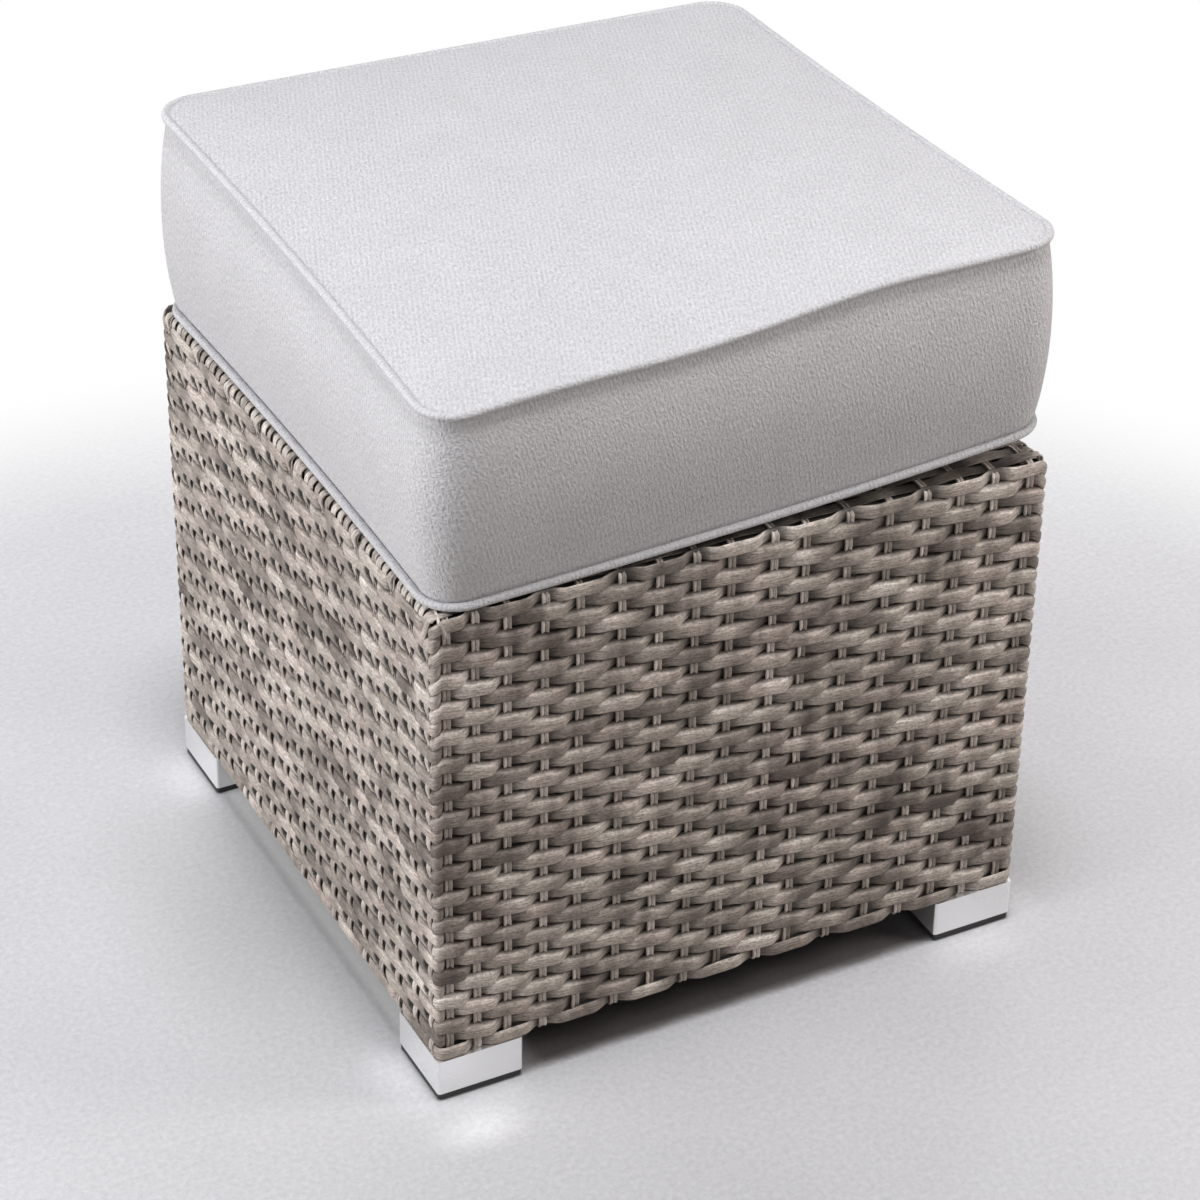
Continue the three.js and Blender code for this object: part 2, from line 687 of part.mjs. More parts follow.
// Origin in the middle of the slider's back face. The bridge stands out along +Y.
function zipSlider() {
  const nose = new THREE.Shape();
  nose.moveTo(-sliderLength / 2, -sliderHeight / 2);
  nose.lineTo(sliderLength / 4, -sliderHeight / 2);
  nose.lineTo(sliderLength / 2, -sliderHeight / 4);
  nose.lineTo(sliderLength / 2, sliderHeight / 4);
  nose.lineTo(sliderLength / 4, sliderHeight / 2);
  nose.lineTo(-sliderLength / 2, sliderHeight / 2);
  nose.closePath();
  const plate = extrude(nose, sliderThickness).rotateX(-Math.PI / 2);
  const rise = bridgeOpening + bridgeWall;
  const legX = bridgeLength / 2 - bridgeWall / 2;
  const legY = sliderThickness + rise / 2;
  const bar = block(bridgeLength, bridgeWall, bridgeWidth, 0, sliderThickness + rise - bridgeWall / 2, 0);
  const legs = [-1, 1].map((side) => block(bridgeWall, rise, bridgeWidth, side * legX, legY, 0));
  return joined(plate, bar, ...legs);
}

// Origin on the pivot, under the slider's bridge. The tab lies towards -X.
function zipPull() {
  const pivot = block(pullBar, pullBar, 2 * pullArmSpread, 0, 0, 0);
  const armLength = pullLoopLength + pullBar;
  const arms = [-1, 1].map((side) =>
    block(armLength, pullBar, pullBar, pullBar / 2 - armLength / 2, 0, side * pullArmSpread),
  );
  const tab = block(pullTabLength, pullBar, pullTabHeight, -pullLoopLength - pullTabLength / 2, 0, 0);
  return joined(pivot, ...arms, tab);
}

addFrame();
addFeet();
addWicker();
addCover();
addFoam();
addZip();

export default stool;
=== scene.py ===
"""Looks of an outdoor ottoman footstool: woven skin, piped cushion, metal feet and a pale studio.

Lengths are in metres and +Z is up. The sides of the skin and of the cushion are numbered 0 to 3, from the
front to the right, the back and the left.
"""

import math

import bpy
import numpy as np
from mathutils import Matrix, Vector


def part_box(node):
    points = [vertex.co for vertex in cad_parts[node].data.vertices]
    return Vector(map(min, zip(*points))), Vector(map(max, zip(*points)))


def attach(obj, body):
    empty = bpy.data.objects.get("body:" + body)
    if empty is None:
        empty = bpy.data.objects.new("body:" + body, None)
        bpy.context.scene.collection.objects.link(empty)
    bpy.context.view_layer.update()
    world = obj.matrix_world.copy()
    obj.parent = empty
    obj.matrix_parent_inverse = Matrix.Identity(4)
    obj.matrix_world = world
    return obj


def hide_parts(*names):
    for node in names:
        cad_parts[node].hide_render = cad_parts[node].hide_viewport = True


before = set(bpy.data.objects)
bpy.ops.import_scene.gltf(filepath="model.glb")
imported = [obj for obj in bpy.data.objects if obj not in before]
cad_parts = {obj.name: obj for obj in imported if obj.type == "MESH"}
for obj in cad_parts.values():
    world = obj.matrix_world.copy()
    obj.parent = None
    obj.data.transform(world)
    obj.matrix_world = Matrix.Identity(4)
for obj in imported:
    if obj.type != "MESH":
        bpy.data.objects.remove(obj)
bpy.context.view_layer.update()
STOOL, CUSHION = "stool", "cushion"
MM = 0.001
QUARTER = math.pi / 2
X_AXIS, Y_AXIS, Z_AXIS = np.eye(3)
BEND_RINGS = 4  # rings of points round a quarter bend

# Woven skin
SKIN_LOW = Vector((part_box("woven_left")[0].x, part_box("woven_front")[0].y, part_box("woven_front")[0].z))
SKIN_HIGH = Vector((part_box("woven_right")[1].x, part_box("woven_back")[1].y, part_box("woven_front")[1].z))
SKIN_DEPTH = 0.0031  # outer face of the skin to the middle of its stakes
SKIN_RADIUS = 0.0024  # bend of that middle surface at a corner
SKIN_HALF = (SKIN_HIGH.x - SKIN_LOW.x) / 2 - SKIN_DEPTH
STRAIGHT = 2 * (SKIN_HALF - SKIN_RADIUS)
ARC = QUARTER * SKIN_RADIUS
SIDE_LENGTH = STRAIGHT + ARC
LOOP = 4 * SIDE_LENGTH

# Rows of weft strands
ROWS = 33
ROW_PITCH = (SKIN_HIGH.z - SKIN_LOW.z) / ROWS
WEFT_BANDS = [0, 8, 16, 25, ROWS]  # rows at which a piece of the weft starts, and the last one ends
# How far a strand stands out behind a stake, and over one: at the front, and at the left
FRONT_SWING = (-0.0022, 0.0022)
LEFT_SWING = (0.0001, 0.0018)
# Shares of a stake's pitch over which a strand comes back out, and over which it stays behind the stake
FRONT_DIVE, LEFT_DIVE = 0.60, 0.33
FRONT_HIDE, LEFT_HIDE = 0.06, 0.20
WEFT_TILT = 0.0010  # how far a strand climbs as it passes over a stake
WEFT_HALF_WIDE = 0.0046  # half a strand's width over a stake
WEFT_HALF_BEHIND = 0.0068  # and behind one, where it closes the view through the skin and is painted dark as shade
WEFT_CROWN, WEFT_BACK = 0.0014, 0.0005
WEFT_FLARE, WEFT_FLARE_DEPTH = 1.40, 0.0019  # its hidden back is wider, which closes the gaps between rows, and is painted dark as shade
# Shares of the way between two stakes at which a strand has a ring of points
WEFT_STEPS = [0, 0.07, 0.14, 0.20, 0.25, 0.30, 0.36, 0.46, 0.56, 0.66, 0.71, 0.76, 0.82, 0.90]
# Painted shade of a strand: at the front by how far it dives, in the slanting slots beside the stakes of the
# left and right sides, at its edges, and on its back
FRONT_SHADE_START, FRONT_SHADE_RANGE = 0.35, 0.85
SLOT_SLANT, SLOT_EDGE, SLOT_BLUR = 0.50, 0.022, 0.065
EDGE_SHADE, BACK_SHADE = 0.25, 0.9

# Stakes, each of two narrow strands
STAKES = 17  # on each side
STAKE_PITCH = 0.02375
FIRST_STAKE = 0.010
# Front stakes in millimetres from the left corner, as the photograph shows them
FRONT_STAKES = [9.3, 27, 46.8, 70, 92, 118, 142, 165.5, 188, 216, 237, 265, 292, 317, 340, 363.5, 388]
STAKE_JITTER = 0.0012
STAKE_HALF_WIDTH = 0.00125
STAKE_SPACING = 0.00255  # between the middles of a stake's two strands
STAKE_CROWN, STAKE_BACK = 0.0010, 0.0004
STAKE_SWING, SIDE_STAKE_SWING, DECK_STAKE_SWING = 0.0003, 0.0010, 0.00028
STAKE_STEPS = 4  # in a row of weft
STAKE_FOOT = 0.0004  # back of a stake above the skin's lower edge
STAKE_HOOK, STAKE_HOOK_RADIUS = 0.0026, 0.0015  # how far a stake turns in under that edge
DECK_STAKE_SHARE = 0.8  # of its width, on the deck
SIDE_STAKE_OUT = 0.0013  # how far the stakes of the left and right sides stand out
SIDE_STAKE_LIFT = 0.0004  # how far they pass above the deck's middle surface
SIDE_STAKE_REACH = 0.018  # how far they run in over the deck
SINK_START, SINK_RUN, SINK_DEPTH = 0.010, 0.008, 0.0016  # where, over what length and how far they then sink

# Deck
DECK_ROWS = 41
DECK_DEPTH = 0.00175  # top of the deck to the middle of its stakes
DECK_INSET = 0.0063  # front of the skin to the front of the deck
DECK_MIDDLE = SKIN_HIGH.z - DECK_DEPTH
DECK_FRONT = SKIN_LOW.y + DECK_INSET
DECK_PITCH = 2 * -DECK_FRONT / DECK_ROWS
DECK_SWING = 0.0008
DECK_STEPS = 6  # in a stake's pitch
DECK_CROWN, DECK_BACK = 0.00065, 0.0002
DECK_HALF_WIDTHS = (0.0040, 0.0049)  # half a strand's width under a stake, and over one
# Painted shade of the deck's strands: where they pass under a stake, and over one
DECK_SHADES = (0.85, 0.5)
DECK_END_INSET, DECK_END_DROP = 0.0012, 0.012  # where the strands turn down, and how far
DECK_FLAT_START, DECK_FLAT_RUN = 0.0002, 0.001  # how soon they stop swinging as they turn down
RIM_RADIUS = 0.0030

# Rim of the left and right sides, wound with short strands that show above the top row
SIDE_RIM = 0.006  # height of the winding above that row
RIM_LOOPS = 3  # in a stake's pitch
RIM_LOOP_HALF = 0.0027
RIM_LOOP_WIDTHS = (0.7, 1.15)  # smallest and largest share of that half width
RIM_LOOP_TAPER, RIM_LOOP_TAPER_START = 0.35, 0.6
RIM_LOOP_JITTER, RIM_LOOP_LEAN = 0.0012, 0.0035
RIM_LOOP_RADIUS = 0.0042
RIM_LOOP_OUT = 0.001
RIM_LOOP_FOOT = 0.009  # how far its outer end reaches down behind the top row
RIM_LOOP_REACH = 0.013  # and its inner end over the deck
RIM_LOOP_SINK = 0.006
RIM_LOOP_STEP = 0.001

# Straps over the front left corner: where they start and end round it, rows down, half a width
STRAPS = [(-0.0135, -0.0014, 2.6, 0.0029), (0.0052, 0.0012, 1.3, 0.0011)]
STRAP_RISE_RINGS, STRAP_BEND_RINGS = 9, 5
STRAP_BEND = 0.0018
STRAP_REACH = 0.012
STRAP_SINKS = [0.00012, 0.00036, 0.00066, 0.00096, 0.0012]  # how far its last rings lie below the rim
STRAP_STAND_OUT, STRAP_TUCK = 0.0028, 0.0015
STRAP_LEAN_SHARE = 0.55  # of its length, over which it leans
STRAP_TAPER = 0.8
STRAP_CROWN, STRAP_BACK = 0.0011, 0.0004

# Outlines of a strand's section: shares across it, and heights as shares of its crown or its back
STRIP_SHAPE = [
    (-1, 0), (-0.9, 0.36), (-0.7, 0.62), (-0.35, 0.82), (0.05, 0.95), (0.4, 1),
    (0.7, 0.84), (0.9, 0.45), (1, 0), (0.7, -1), (-0.7, -1),
]
RIDGE_SHAPE = [(-1, 0.1), (-0.8, 0.85), (-0.5, 1), (0, 0.62), (0.6, 0.55), (1, 0.15), (0.7, -1), (-0.7, -1)]

# Random lines: their size, the lengths of the waves that add up to them, and the first strand's seed
WEFT_OUT_WANDER = (0.00015, (0.021, 0.037, 0.13), 0)
WEFT_UP_WANDER = (0.0004, (0.05, 0.083, 0.21), 100)
WEFT_WIDTH_WANDER = (0.10, (0.03, 0.047, 0.11), 200)
LONG_STAKE_WANDER = (0.0003, (0.05, 0.11), 300)
SIDE_STAKE_WANDER = (0.0003, (0.05, 0.11), 500)
DECK_WANDER = (0.0003, (0.05, 0.09), 700)
# Places of the first strands in the grain, and how far apart two strands lie in it
STRAP_GRAIN, RIM_LOOP_GRAIN, DECK_GRAIN = 300, 500, 800
GRAIN_APART = 3.7
# The two strands of each stake: the random line of their width, and the first one's place in the grain
LONG_TWINS = ((0.08, (0.02, 0.06), 400), 50)
SIDE_TWINS = ((0.08, (0.02, 0.06), 600), 170)

# Cushion
PIPING_RADIUS = 0.003
CORD_RADIUS, CORD_SIDES = 0.0026, 10
SEAM_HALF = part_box("piping_top")[1].x - PIPING_RADIUS
SEAM_LENGTH = 8 * SEAM_HALF
SEAM_RADIUS = 0.022
SEAM_STRAIGHT = SEAM_HALF - SEAM_RADIUS  # half the straight part of a side
SEAM_RISE = 0.0003  # underside of the lower piping above the deck
SEAM_HEIGHT = 0.127  # lower piping to upper piping
LOW_SEAM = SKIN_HIGH.z + PIPING_RADIUS + SEAM_RISE
HIGH_SEAM = LOW_SEAM + SEAM_HEIGHT
SEAM_DRAW_IN = 0.003
SEAM_CELLS = 80  # along each side
SEAM_TUCK = 0.0012  # seam to the middle of its cord
SEAM_GROOVE, GROOVE_SHARE = 0.0016, 0.05  # the band draws in further just above the lower piping
SIDE_BULGE, BULGE_POWER = 0.007, 0.85
CROWN = 0.00935  # rise of a panel's middle over its seam, before the cloth swells
CROWN_POWER, PANEL_SQUARENESS = 3, 6
# Steps by which a panel leaves its seam: how far inside it, and how far above or below
TUCKS = [(0.0020, 0.0013), (0.0034, 0.0021), (0.0060, 0.0027)]
PANEL_INSET, PANEL_RISE = TUCKS[-1]
# How far the cushion's corners are lifted as it lies askew: front left, front right, back right, back left
TOP_LIFT = (-0.008, 0.014, 0.001, 0.008)
BOTTOM_LIFT = (0.0, 0.019, 0.0, 0.002)
BOTTOM_LIFT_POWER = 2.5
# Waves of the upper front seam, and puckers of the front: where along it and how wide, as shares of its
# length, and how high
SEAM_WAVES = [(0.40, 0.15, -0.0038), (0.71, 0.12, 0.0030)]
WAVE_REACH = 0.09
PUCKERS = [(0.508, 0.010, 0.0009), (0.530, 0.012, -0.0008), (0.74, 0.018, 0.0005), (0.27, 0.02, 0.0004)]
# Heights of the band's rows, as shares of the band: below the zip, above it, and under the upper seam
LOW_ROWS, HIGH_ROWS = [0, 0.02, 0.05], [0.98, 1]
MIDDLE_ROWS, MIDDLE_ROW_COUNT = (0.21, 0.95), 18
ZIP_SHARES = (0.10, 0.17)  # of the band's height
ZIP_EDGE_SHARE = 0.003
ZIP_HALF_SHARE = 0.88  # of the straight part of the back seam
ZIP_HOLD_SHARE = 0.05  # how far above the zip's window the cloth still holds still
ZIP_RECESS = 0.0027

# Zip teeth
TOOTH_PITCH = 0.0014
TOOTH_LENGTH_SHARE = 0.36  # half a tooth's length, as a share of that pitch
TOOTH_HALF_HEIGHT = 0.0014
TOOTH_OFFSET = 0.0006
TOOTH_TAPER = 0.7
TOOTH_CORNERS = [(x, y, z) for x in (-1, 1) for y in (-1, 1) for z in (-1, 1)]
TOOTH_FACES = [(0, 1, 3, 2), (4, 6, 7, 5), (0, 4, 5, 1), (2, 3, 7, 6), (0, 2, 6, 4), (1, 5, 7, 3)]

# Swelling of the cover
CLOTH_STEPS = 20
CLOTH_CAP = 0.006
CLOTH_SETTINGS = {
    "quality": 4,
    "mass": 0.3,
    "vertex_group_mass": "seams",
    "use_pressure": True,
    "uniform_pressure_force": 4.0,
    "tension_stiffness": 20,
    "bending_stiffness": 2,
}

# Cloth look: the twill slants one way on the panels and another on the band
TOP_SLANT, SIDE_SLANT = math.radians(-20.9), math.radians(15.1)
PANEL_CLOTH, BAND_CLOTH, CORD_CLOTH = 0, 1, 2  # each has its own part of the grain
TWILL_PITCH, TWILL_DEPTH, TWILL_WOBBLE = 0.0028, 0.06, 2.6
CLOTH_COLOUR = (0.765, 0.76, 0.797, 1)
CLOTH_SHADER = {"Roughness": 0.95, "Sheen Weight": 0.1, "Specular IOR Level": 0.2}
CLOTH_BUMP = (0.9, 0.0011)  # strength, height
# Noises: scale along each axis, detail, roughness
YARN = ((640, 330, 1), 2.0, 0.6)
FUZZ = ((900, 620, 1), 2.0, 0.7)
CLOTH_CLOUDS = ((28, 28, 1), 2.0, 0.5)
# Ranges: lowest and highest value, and what they become
CLOTH_SHADE = (0.6, 1.4, 0.71, 1.24)
CLOTH_CLOUD_SHADE = (0.3, 0.7, 0.975, 1.02)

# Wicker look
STRAND_PATCHES, STRAND_SHARE = ((19, 0, 3.1), 3.0, 0.7), 0.66
PLACE_PATCHES, PLACE_SHARE = ((17, 17, 0.42), 2.0, 0.6), 0.44
PATCH_SHIFT = 0.04
EVEN_REACH = (0.190, 0.197)  # the left and right sides are more even in tone
EVEN_SHARE, EVEN_TONE = 0.84, 0.505
TINT_PATCHES = ((33, 33, 60), 2.0, 0.5)
STREAKS = ((110, 950, 5), 2.0, 0.6)
MOTTLE = ((420, 760, 5), 3.0, 0.7)
GRAIN_SHADE = (0.36, 0.64, 0.46, 1.54)
GRAIN_GLOSS = (0.3, 0.7, 0.42, 0.6)
PAINTED_SHADE_DARKEST = 0.03  # colour factor of the darkest painted shade, as where a strand passes behind a stake
WICKER_SHADER = {"Specular IOR Level": 0.35}
WICKER_BUMP = (0.5, 0.0004)
TINTS = [(0.36, (1.015, 0.985, 0.99)), (0.5, (1.0, 0.997, 1.0)), (0.64, (0.985, 1.0, 0.99))]
WEFT_STOPS = [
    (0.36, (0.105, 0.083, 0.072)),
    (0.44, (0.23, 0.195, 0.172)),
    (0.50, (0.40, 0.348, 0.313)),
    (0.56, (0.58, 0.515, 0.468)),
    (0.64, (0.77, 0.70, 0.65)),
]
STAKE_STOPS = [(0.38, (0.27, 0.235, 0.21)), (0.5, (0.54, 0.48, 0.44)), (0.62, (0.86, 0.79, 0.74))]

# Plain paints: colour, roughness, metallic, scale of their speckle
PAINTS = {
    "black_plastic": ((0.012, 0.012, 0.012), 0.5, 0.0, 200),
    "steel": ((0.6, 0.61, 0.62), 0.35, 1.0, 200),
    "frame_paint": ((0.075, 0.07, 0.065), 0.45, 0.2, 60),
    "foot_satin": ((0.94, 0.94, 0.95), 0.28, 0.8, 9),
    "zip_tape": ((0.45, 0.45, 0.47), 0.85, 0.0, 900),
    "zip_teeth": ((0.42, 0.42, 0.44), 0.5, 0.0, 900),
}
SPECKLE_DETAIL, SPECKLE_ROUGHNESS = 3.0, 0.5
SPECKLE_RANGE = (0.3, 0.7)
SPECKLE_DARK = 0.9
SPECKLE_GLOSS = (0.85, 1.15)
# The starts of the names of the nodes that wear each paint. The first that fits a name counts.
NODE_PAINTS = {
    "black_plastic": ("post_insert", "glide"),
    "steel": ("foot_screw", "zip_slider", "zip_pull"),
    "frame_paint": ("post", "top_rail", "bottom_rail", "seat_bar"),
    "foot_satin": ("foot",),
    "zip_tape": ("zip_tape", "zip_coil"),
}

# Floor
FLOOR_HALF = 12.0
FLOOR_DROP = 0.0002
FLOOR_SHADER = {"Specular IOR Level": 0.35}
FLOOR_CLOUDS, FLOOR_CLOUD_SHARE = ((7, 7, 7), 2.0, 0.5), 0.15
FLOOR_GRAIN, FLOOR_GRAIN_SHARE = ((260, 260, 260), 3.0, 0.7), 0.6
FLOOR_SHIFT = 0.125
FLOOR_GLOSS = (0.3, 0.7, 0.3, 0.42)
FLOOR_STOPS = [(0.38, (0.655, 0.655, 0.686)), (0.62, (0.79, 0.79, 0.824))]
FLOOR_BOUNCE = (0.32, 0.295, 0.27, 1)  # its colour for the light that it throws back on the object
# Painted shadow under the stool: its colour, where it ends, where it gives way to light from the left, and
# how much painted light glows there
PAINTED_SHADOW_COLOUR = (0.34, 0.32, 0.31, 1)
UNDER_EDGE = (0.190, 0.201)
UNDER_LEFT = (-0.195, -0.125)
PAINTED_GLOW_UNDER_LEFT = 0.25
# Painted light that the feet throw on the floor: place, reach along X and Y, strength. The last one is a
# painted shade.
PAINTED_GLINTS_AND_SHADE = [
    (-0.188, -0.233, 0.040, 0.024, 0.30),
    (-0.215, -0.160, 0.022, 0.040, 0.12),
    (-0.215, 0.165, 0.022, 0.045, 0.08),
    (0.215, -0.180, 0.022, 0.035, 0.12),
    (0.172, -0.222, 0.035, 0.02, 0.04),
    (-0.225, 0.03, 0.11, 0.22, -0.22),
]
# Painted shade: the floor is a little darker before the stool, as the photograph shows it: place, reach,
# factor
SHADE_PLACE = (-0.10, -0.42, 0)
SHADE_REACH = (0.05, 0.62)
SHADE_LEVEL = 0.77
# It fades to white round this place, and a painted light brightens it towards the fade: reach, and factor
# there
FADE_PLACE = (-0.1400, -0.2653, 0)
FADE_REACH = (0.75, 0.98)
FAR_LIGHT = (0.52, 0.74, 1.0, 1.11)

# Light and camera
WHITE, WARM = (1.0, 1.0, 1.0), (1.0, 0.94, 0.88)
WORLD_LIGHT = 0.08
# Lamps: place, what they point at, size, power, colour
LAMPS = {
    "above": ((-0.35, -0.6, 5.0), (0, 0, 0.2), 1.2, 134, WHITE),
    "left": ((-3.0, 0.4, 1.3), (0, 0, 0.3), 3.0, 82, WHITE),
    "right": ((1.15, -0.8, 1.0), (0, -0.2, 0.3), 0.6, 8.8, WARM),
}
CAMERA_PLACE = Vector((-0.8963, -1.7141, 1.4404))
CAMERA_TARGET = Vector((0.0025, -0.0108, 0.1871))
CAMERA_ROLL = math.radians(0.954)
CAMERA_LENS, CAMERA_SENSOR = 110.26, 36.0
CAMERA_REACH = 100

rng = np.random.default_rng(7)


# Shared helpers


def lerp(low, high, share):
    return low + (high - low) * share


def wander(along, kind, number):
    """A smooth random line for the strand of that number: the sum of a few sine waves."""
    size, wavelengths, first_seed = kind
    draw = np.random.default_rng(first_seed + number)
    total = np.zeros_like(along)
    for length in wavelengths:
        total += np.sin(2 * np.pi * (along / length + draw.random()))
    return size * total / len(wavelengths)


def turned(x, y, angle):
    """Places or directions (x, y), turned about the Z axis."""
    cosine, sine = np.cos(angle), np.sin(angle)
    return np.stack([cosine * x - sine * y, sine * x + cosine * y], -1)


def upright(direction, path):
    """Points (u, v) as vectors: u along a horizontal direction, v upwards."""
    return np.outer(path[:, 0], direction) + np.outer(path[:, 1], Z_AXIS)


def distances_along(places):
    steps = np.linalg.norm(np.diff(places, axis=0), axis=1)
    return np.concatenate([[0], np.cumsum(steps)])


def rounded_path(corners, radii, step, hand):
    """Places, directions out and distances along a path (u, v) with rounded right-angled corners.

    The directions out point to its left for hand 1, and to its right for hand -1.
    """
    corners = np.array(corners)
    ways = np.diff(corners, axis=0)
    ways /= np.linalg.norm(ways, axis=1, keepdims=True)
    start, pieces = corners[0], []
    for number, way in enumerate(ways):
        radius = radii[number] if number < len(radii) else 0
        end = corners[number + 1] - way * radius
        count = max(round(np.linalg.norm(end - start) / step), 1)
        pieces += [(lerp(start, end, share), way) for share in np.arange(count) / count]
        if radius:
            after = ways[number + 1]
            for angle in np.arange(BEND_RINGS) / BEND_RINGS * QUARTER:
                sine, cosine = math.sin(angle), math.cos(angle)
                place = end + way * radius * sine + after * radius * (1 - cosine)
                pieces.append((place, way * cosine + after * sine))
            start = end + (way + after) * radius
    pieces.append((end, way))
    places, ways = (np.array(column) for column in zip(*pieces))
    return places, hand * np.column_stack([-ways[:, 1], ways[:, 0]]), distances_along(places)


def ring_quads(rings, sides, closed=False):
    """Faces between neighbouring rings of points. Closed rings lead from the last back to the first."""
    ring, side = np.meshgrid(np.arange(rings if closed else rings - 1), np.arange(sides), indexing="ij")
    here, there = ring * sides, (ring + 1) % rings * sides
    after = (side + 1) % sides
    return np.stack([here + side, here + after, there + after, there + side], -1).reshape(-1, 4)


def add_object(name, data):
    made = bpy.data.objects.new(name, data)
    bpy.context.scene.collection.objects.link(made)
    return made


def make_mesh(name, points, faces, attributes=(), smooth=True):
    """A piece with attributes, each given as its name, its domain and its values."""
    mesh = bpy.data.meshes.new(name)
    mesh.from_pydata(np.asarray(points).tolist(), [], faces)
    for key, domain, values in attributes:
        values = np.asarray(values, np.float32)
        kind, field = ("FLOAT_VECTOR", "vector") if values.ndim > 1 else ("FLOAT", "value")
        mesh.attributes.new(key, kind, domain).data.foreach_set(field, values.ravel())
    mesh.polygons.foreach_set("use_smooth", [smooth] * len(mesh.polygons))
    mesh.update()
    return add_object(name, mesh)


class Strands:
    """Collects swept strips, which become one piece."""

    def __init__(self):
        self.points, self.faces, self.lay, self.hidden, self.count = [], [], [], [], 0

    def sweep(self, centres, across, out, section, widths, grain, hidden=0.0):
        """A strip through the centres. The section holds (share across, height out) and closes on itself."""
        rings, sides = len(centres), len(section)
        share, height = section.T
        across = np.broadcast_to(across, centres.shape)[:, None, :]
        points = centres[:, None, :] + across * np.outer(widths, share)[:, :, None]
        points += out[:, None, :] * height[:, None]
        lay = np.empty(points.shape)
        lay[:, :, 0] = distances_along(centres)[:, None] + grain * GRAIN_APART
        lay[:, :, 1] = share * WEFT_HALF_WIDE
        lay[:, :, 2] = grain
        first = np.arange(sides) + self.count
        last = first + (rings - 1) * sides
        self.faces += (ring_quads(rings, sides) + self.count).tolist() + [first[::-1].tolist(), last.tolist()]
        self.points.append(points.reshape(-1, 3))
        self.lay.append(lay.reshape(-1, 3))
        # Painted shade of each point, which darkens the wicker's colour
        self.hidden.append(np.broadcast_to(hidden, (rings, sides)).ravel())
        self.count += rings * sides

    def piece(self, name):
        lay, hidden = np.concatenate(self.lay), np.concatenate(self.hidden)
        attributes = [("lay", "POINT", lay), ("hidden", "POINT", hidden)]
        return make_mesh(name, np.concatenate(self.points), self.faces, attributes)


# Woven skin


def outline(around):
    """Places and outward directions on the skin's middle surface, at distances from the front's left end."""
    around = np.mod(around, LOOP)
    side = np.floor(around / SIDE_LENGTH)
    rest = around - side * SIDE_LENGTH
    turn = np.clip((rest - STRAIGHT) / SKIN_RADIUS, 0, QUARTER)
    normal_x, normal_y = np.sin(turn), -np.cos(turn)
    x = np.minimum(rest, STRAIGHT) - STRAIGHT / 2 + SKIN_RADIUS * normal_x
    y = -STRAIGHT / 2 + SKIN_RADIUS * normal_y
    return turned(x, y, side * QUARTER), turned(normal_x, normal_y, side * QUARTER)


def side_directions(side):
    """The directions outward from a side of the skin, and along it."""
    angle = side * QUARTER
    outward = np.array([math.sin(angle), -math.cos(angle), 0.0])
    return outward, np.array([-outward[1], outward[0], 0.0])


def stake_places():
    """Distances round the skin of the stakes, side by side from the front's left end."""
    even = FIRST_STAKE + STAKE_PITCH * np.arange(STAKES)
    insets = [np.array(FRONT_STAKES) * MM]
    insets += [even + rng.uniform(-1, 1, STAKES) * STAKE_JITTER for _ in range(3)]
    starts = np.arange(4)[:, None] * SIDE_LENGTH - SKIN_DEPTH - SKIN_RADIUS
    return (starts + insets).ravel()


stakes = stake_places()


def stakes_passed(around):
    """The last stake's number before each place round the skin, plus the share of the way to the next."""
    knots = np.concatenate([stakes[-1:] - LOOP, stakes, stakes[:2] + LOOP])
    return np.interp(around, knots, np.arange(-1, len(stakes) + 2))


def side_share(around):
    """1 along the left and right sides, 0 along the front and back, and between them round a corner."""
    ends = [side * SIDE_LENGTH + rest for side in range(4) for rest in (0, STRAIGHT)]
    return np.interp(np.mod(around, LOOP), ends + [LOOP], [0, 0, 1, 1, 0, 0, 1, 1, 0])


def from_dive(around, row):
    """Distance, in stakes, to the nearest stake that a row's strand passes behind."""
    past = np.mod(stakes_passed(around) + row + 1, 2)
    return np.minimum(past, 2 - past)


def crest_share(around, row):
    """1 where a row's strand lies over the stakes, -1 where it passes behind one, smooth between them."""
    sides = side_share(around)
    dive, hide = lerp(FRONT_DIVE, LEFT_DIVE, sides), lerp(FRONT_HIDE, LEFT_HIDE, sides)
    return -np.cos(np.pi * np.clip((from_dive(around, row) - hide) / (dive - hide), 0, 1))


def tilt_share(around, row):
    """Climb of a row's strand: 1 past the stake that it covers, -1 before it, and reversed at the sides."""
    return -np.sin(np.pi * (stakes_passed(around) + row)) * (1 - 2 * side_share(around))


def weft_shade(around, row, crest, section):
    """Painted shade of a row's strand at each point of its rings: darker where it dives, in the slots, at its
    edges and on its back.
    """
    dive = ((1 - crest) / 2 - FRONT_SHADE_START) / FRONT_SHADE_RANGE
    heading = np.where(around > 2 * SIDE_LENGTH, 1, -1)
    leaning = around[:, None] + np.outer(heading * SLOT_SLANT, section[:, 0] * WEFT_HALF_WIDE)
    slot = np.clip((LEFT_DIVE + SLOT_EDGE - from_dive(leaning, row)) / SLOT_BLUR, 0, 1)
    shade = lerp(np.clip(dive, 0, 1)[:, None], slot, side_share(around)[:, None])
    shade = np.maximum(shade, EDGE_SHADE * (section[:, 1] <= 0))
    shade[:, -2:] = BACK_SHADE
    return shade


def section_of(shape, crown, back):
    """A strand's section: points (share across, height out)."""
    return np.array([(across, height * (crown if height >= 0 else back)) for across, height in shape])


def flared_section():
    section = section_of(STRIP_SHAPE, WEFT_CROWN, WEFT_BACK)
    section[-2:] = [(WEFT_FLARE, -WEFT_FLARE_DEPTH), (-WEFT_FLARE, -WEFT_FLARE_DEPTH)]
    return section


def ridged_section(side):
    """A narrow strand with its ridge on the left for side 1, and on the right for side -1."""
    section = section_of(RIDGE_SHAPE, STAKE_CROWN, STAKE_BACK)
    return section if side > 0 else section[::-1] * (-1, 1)


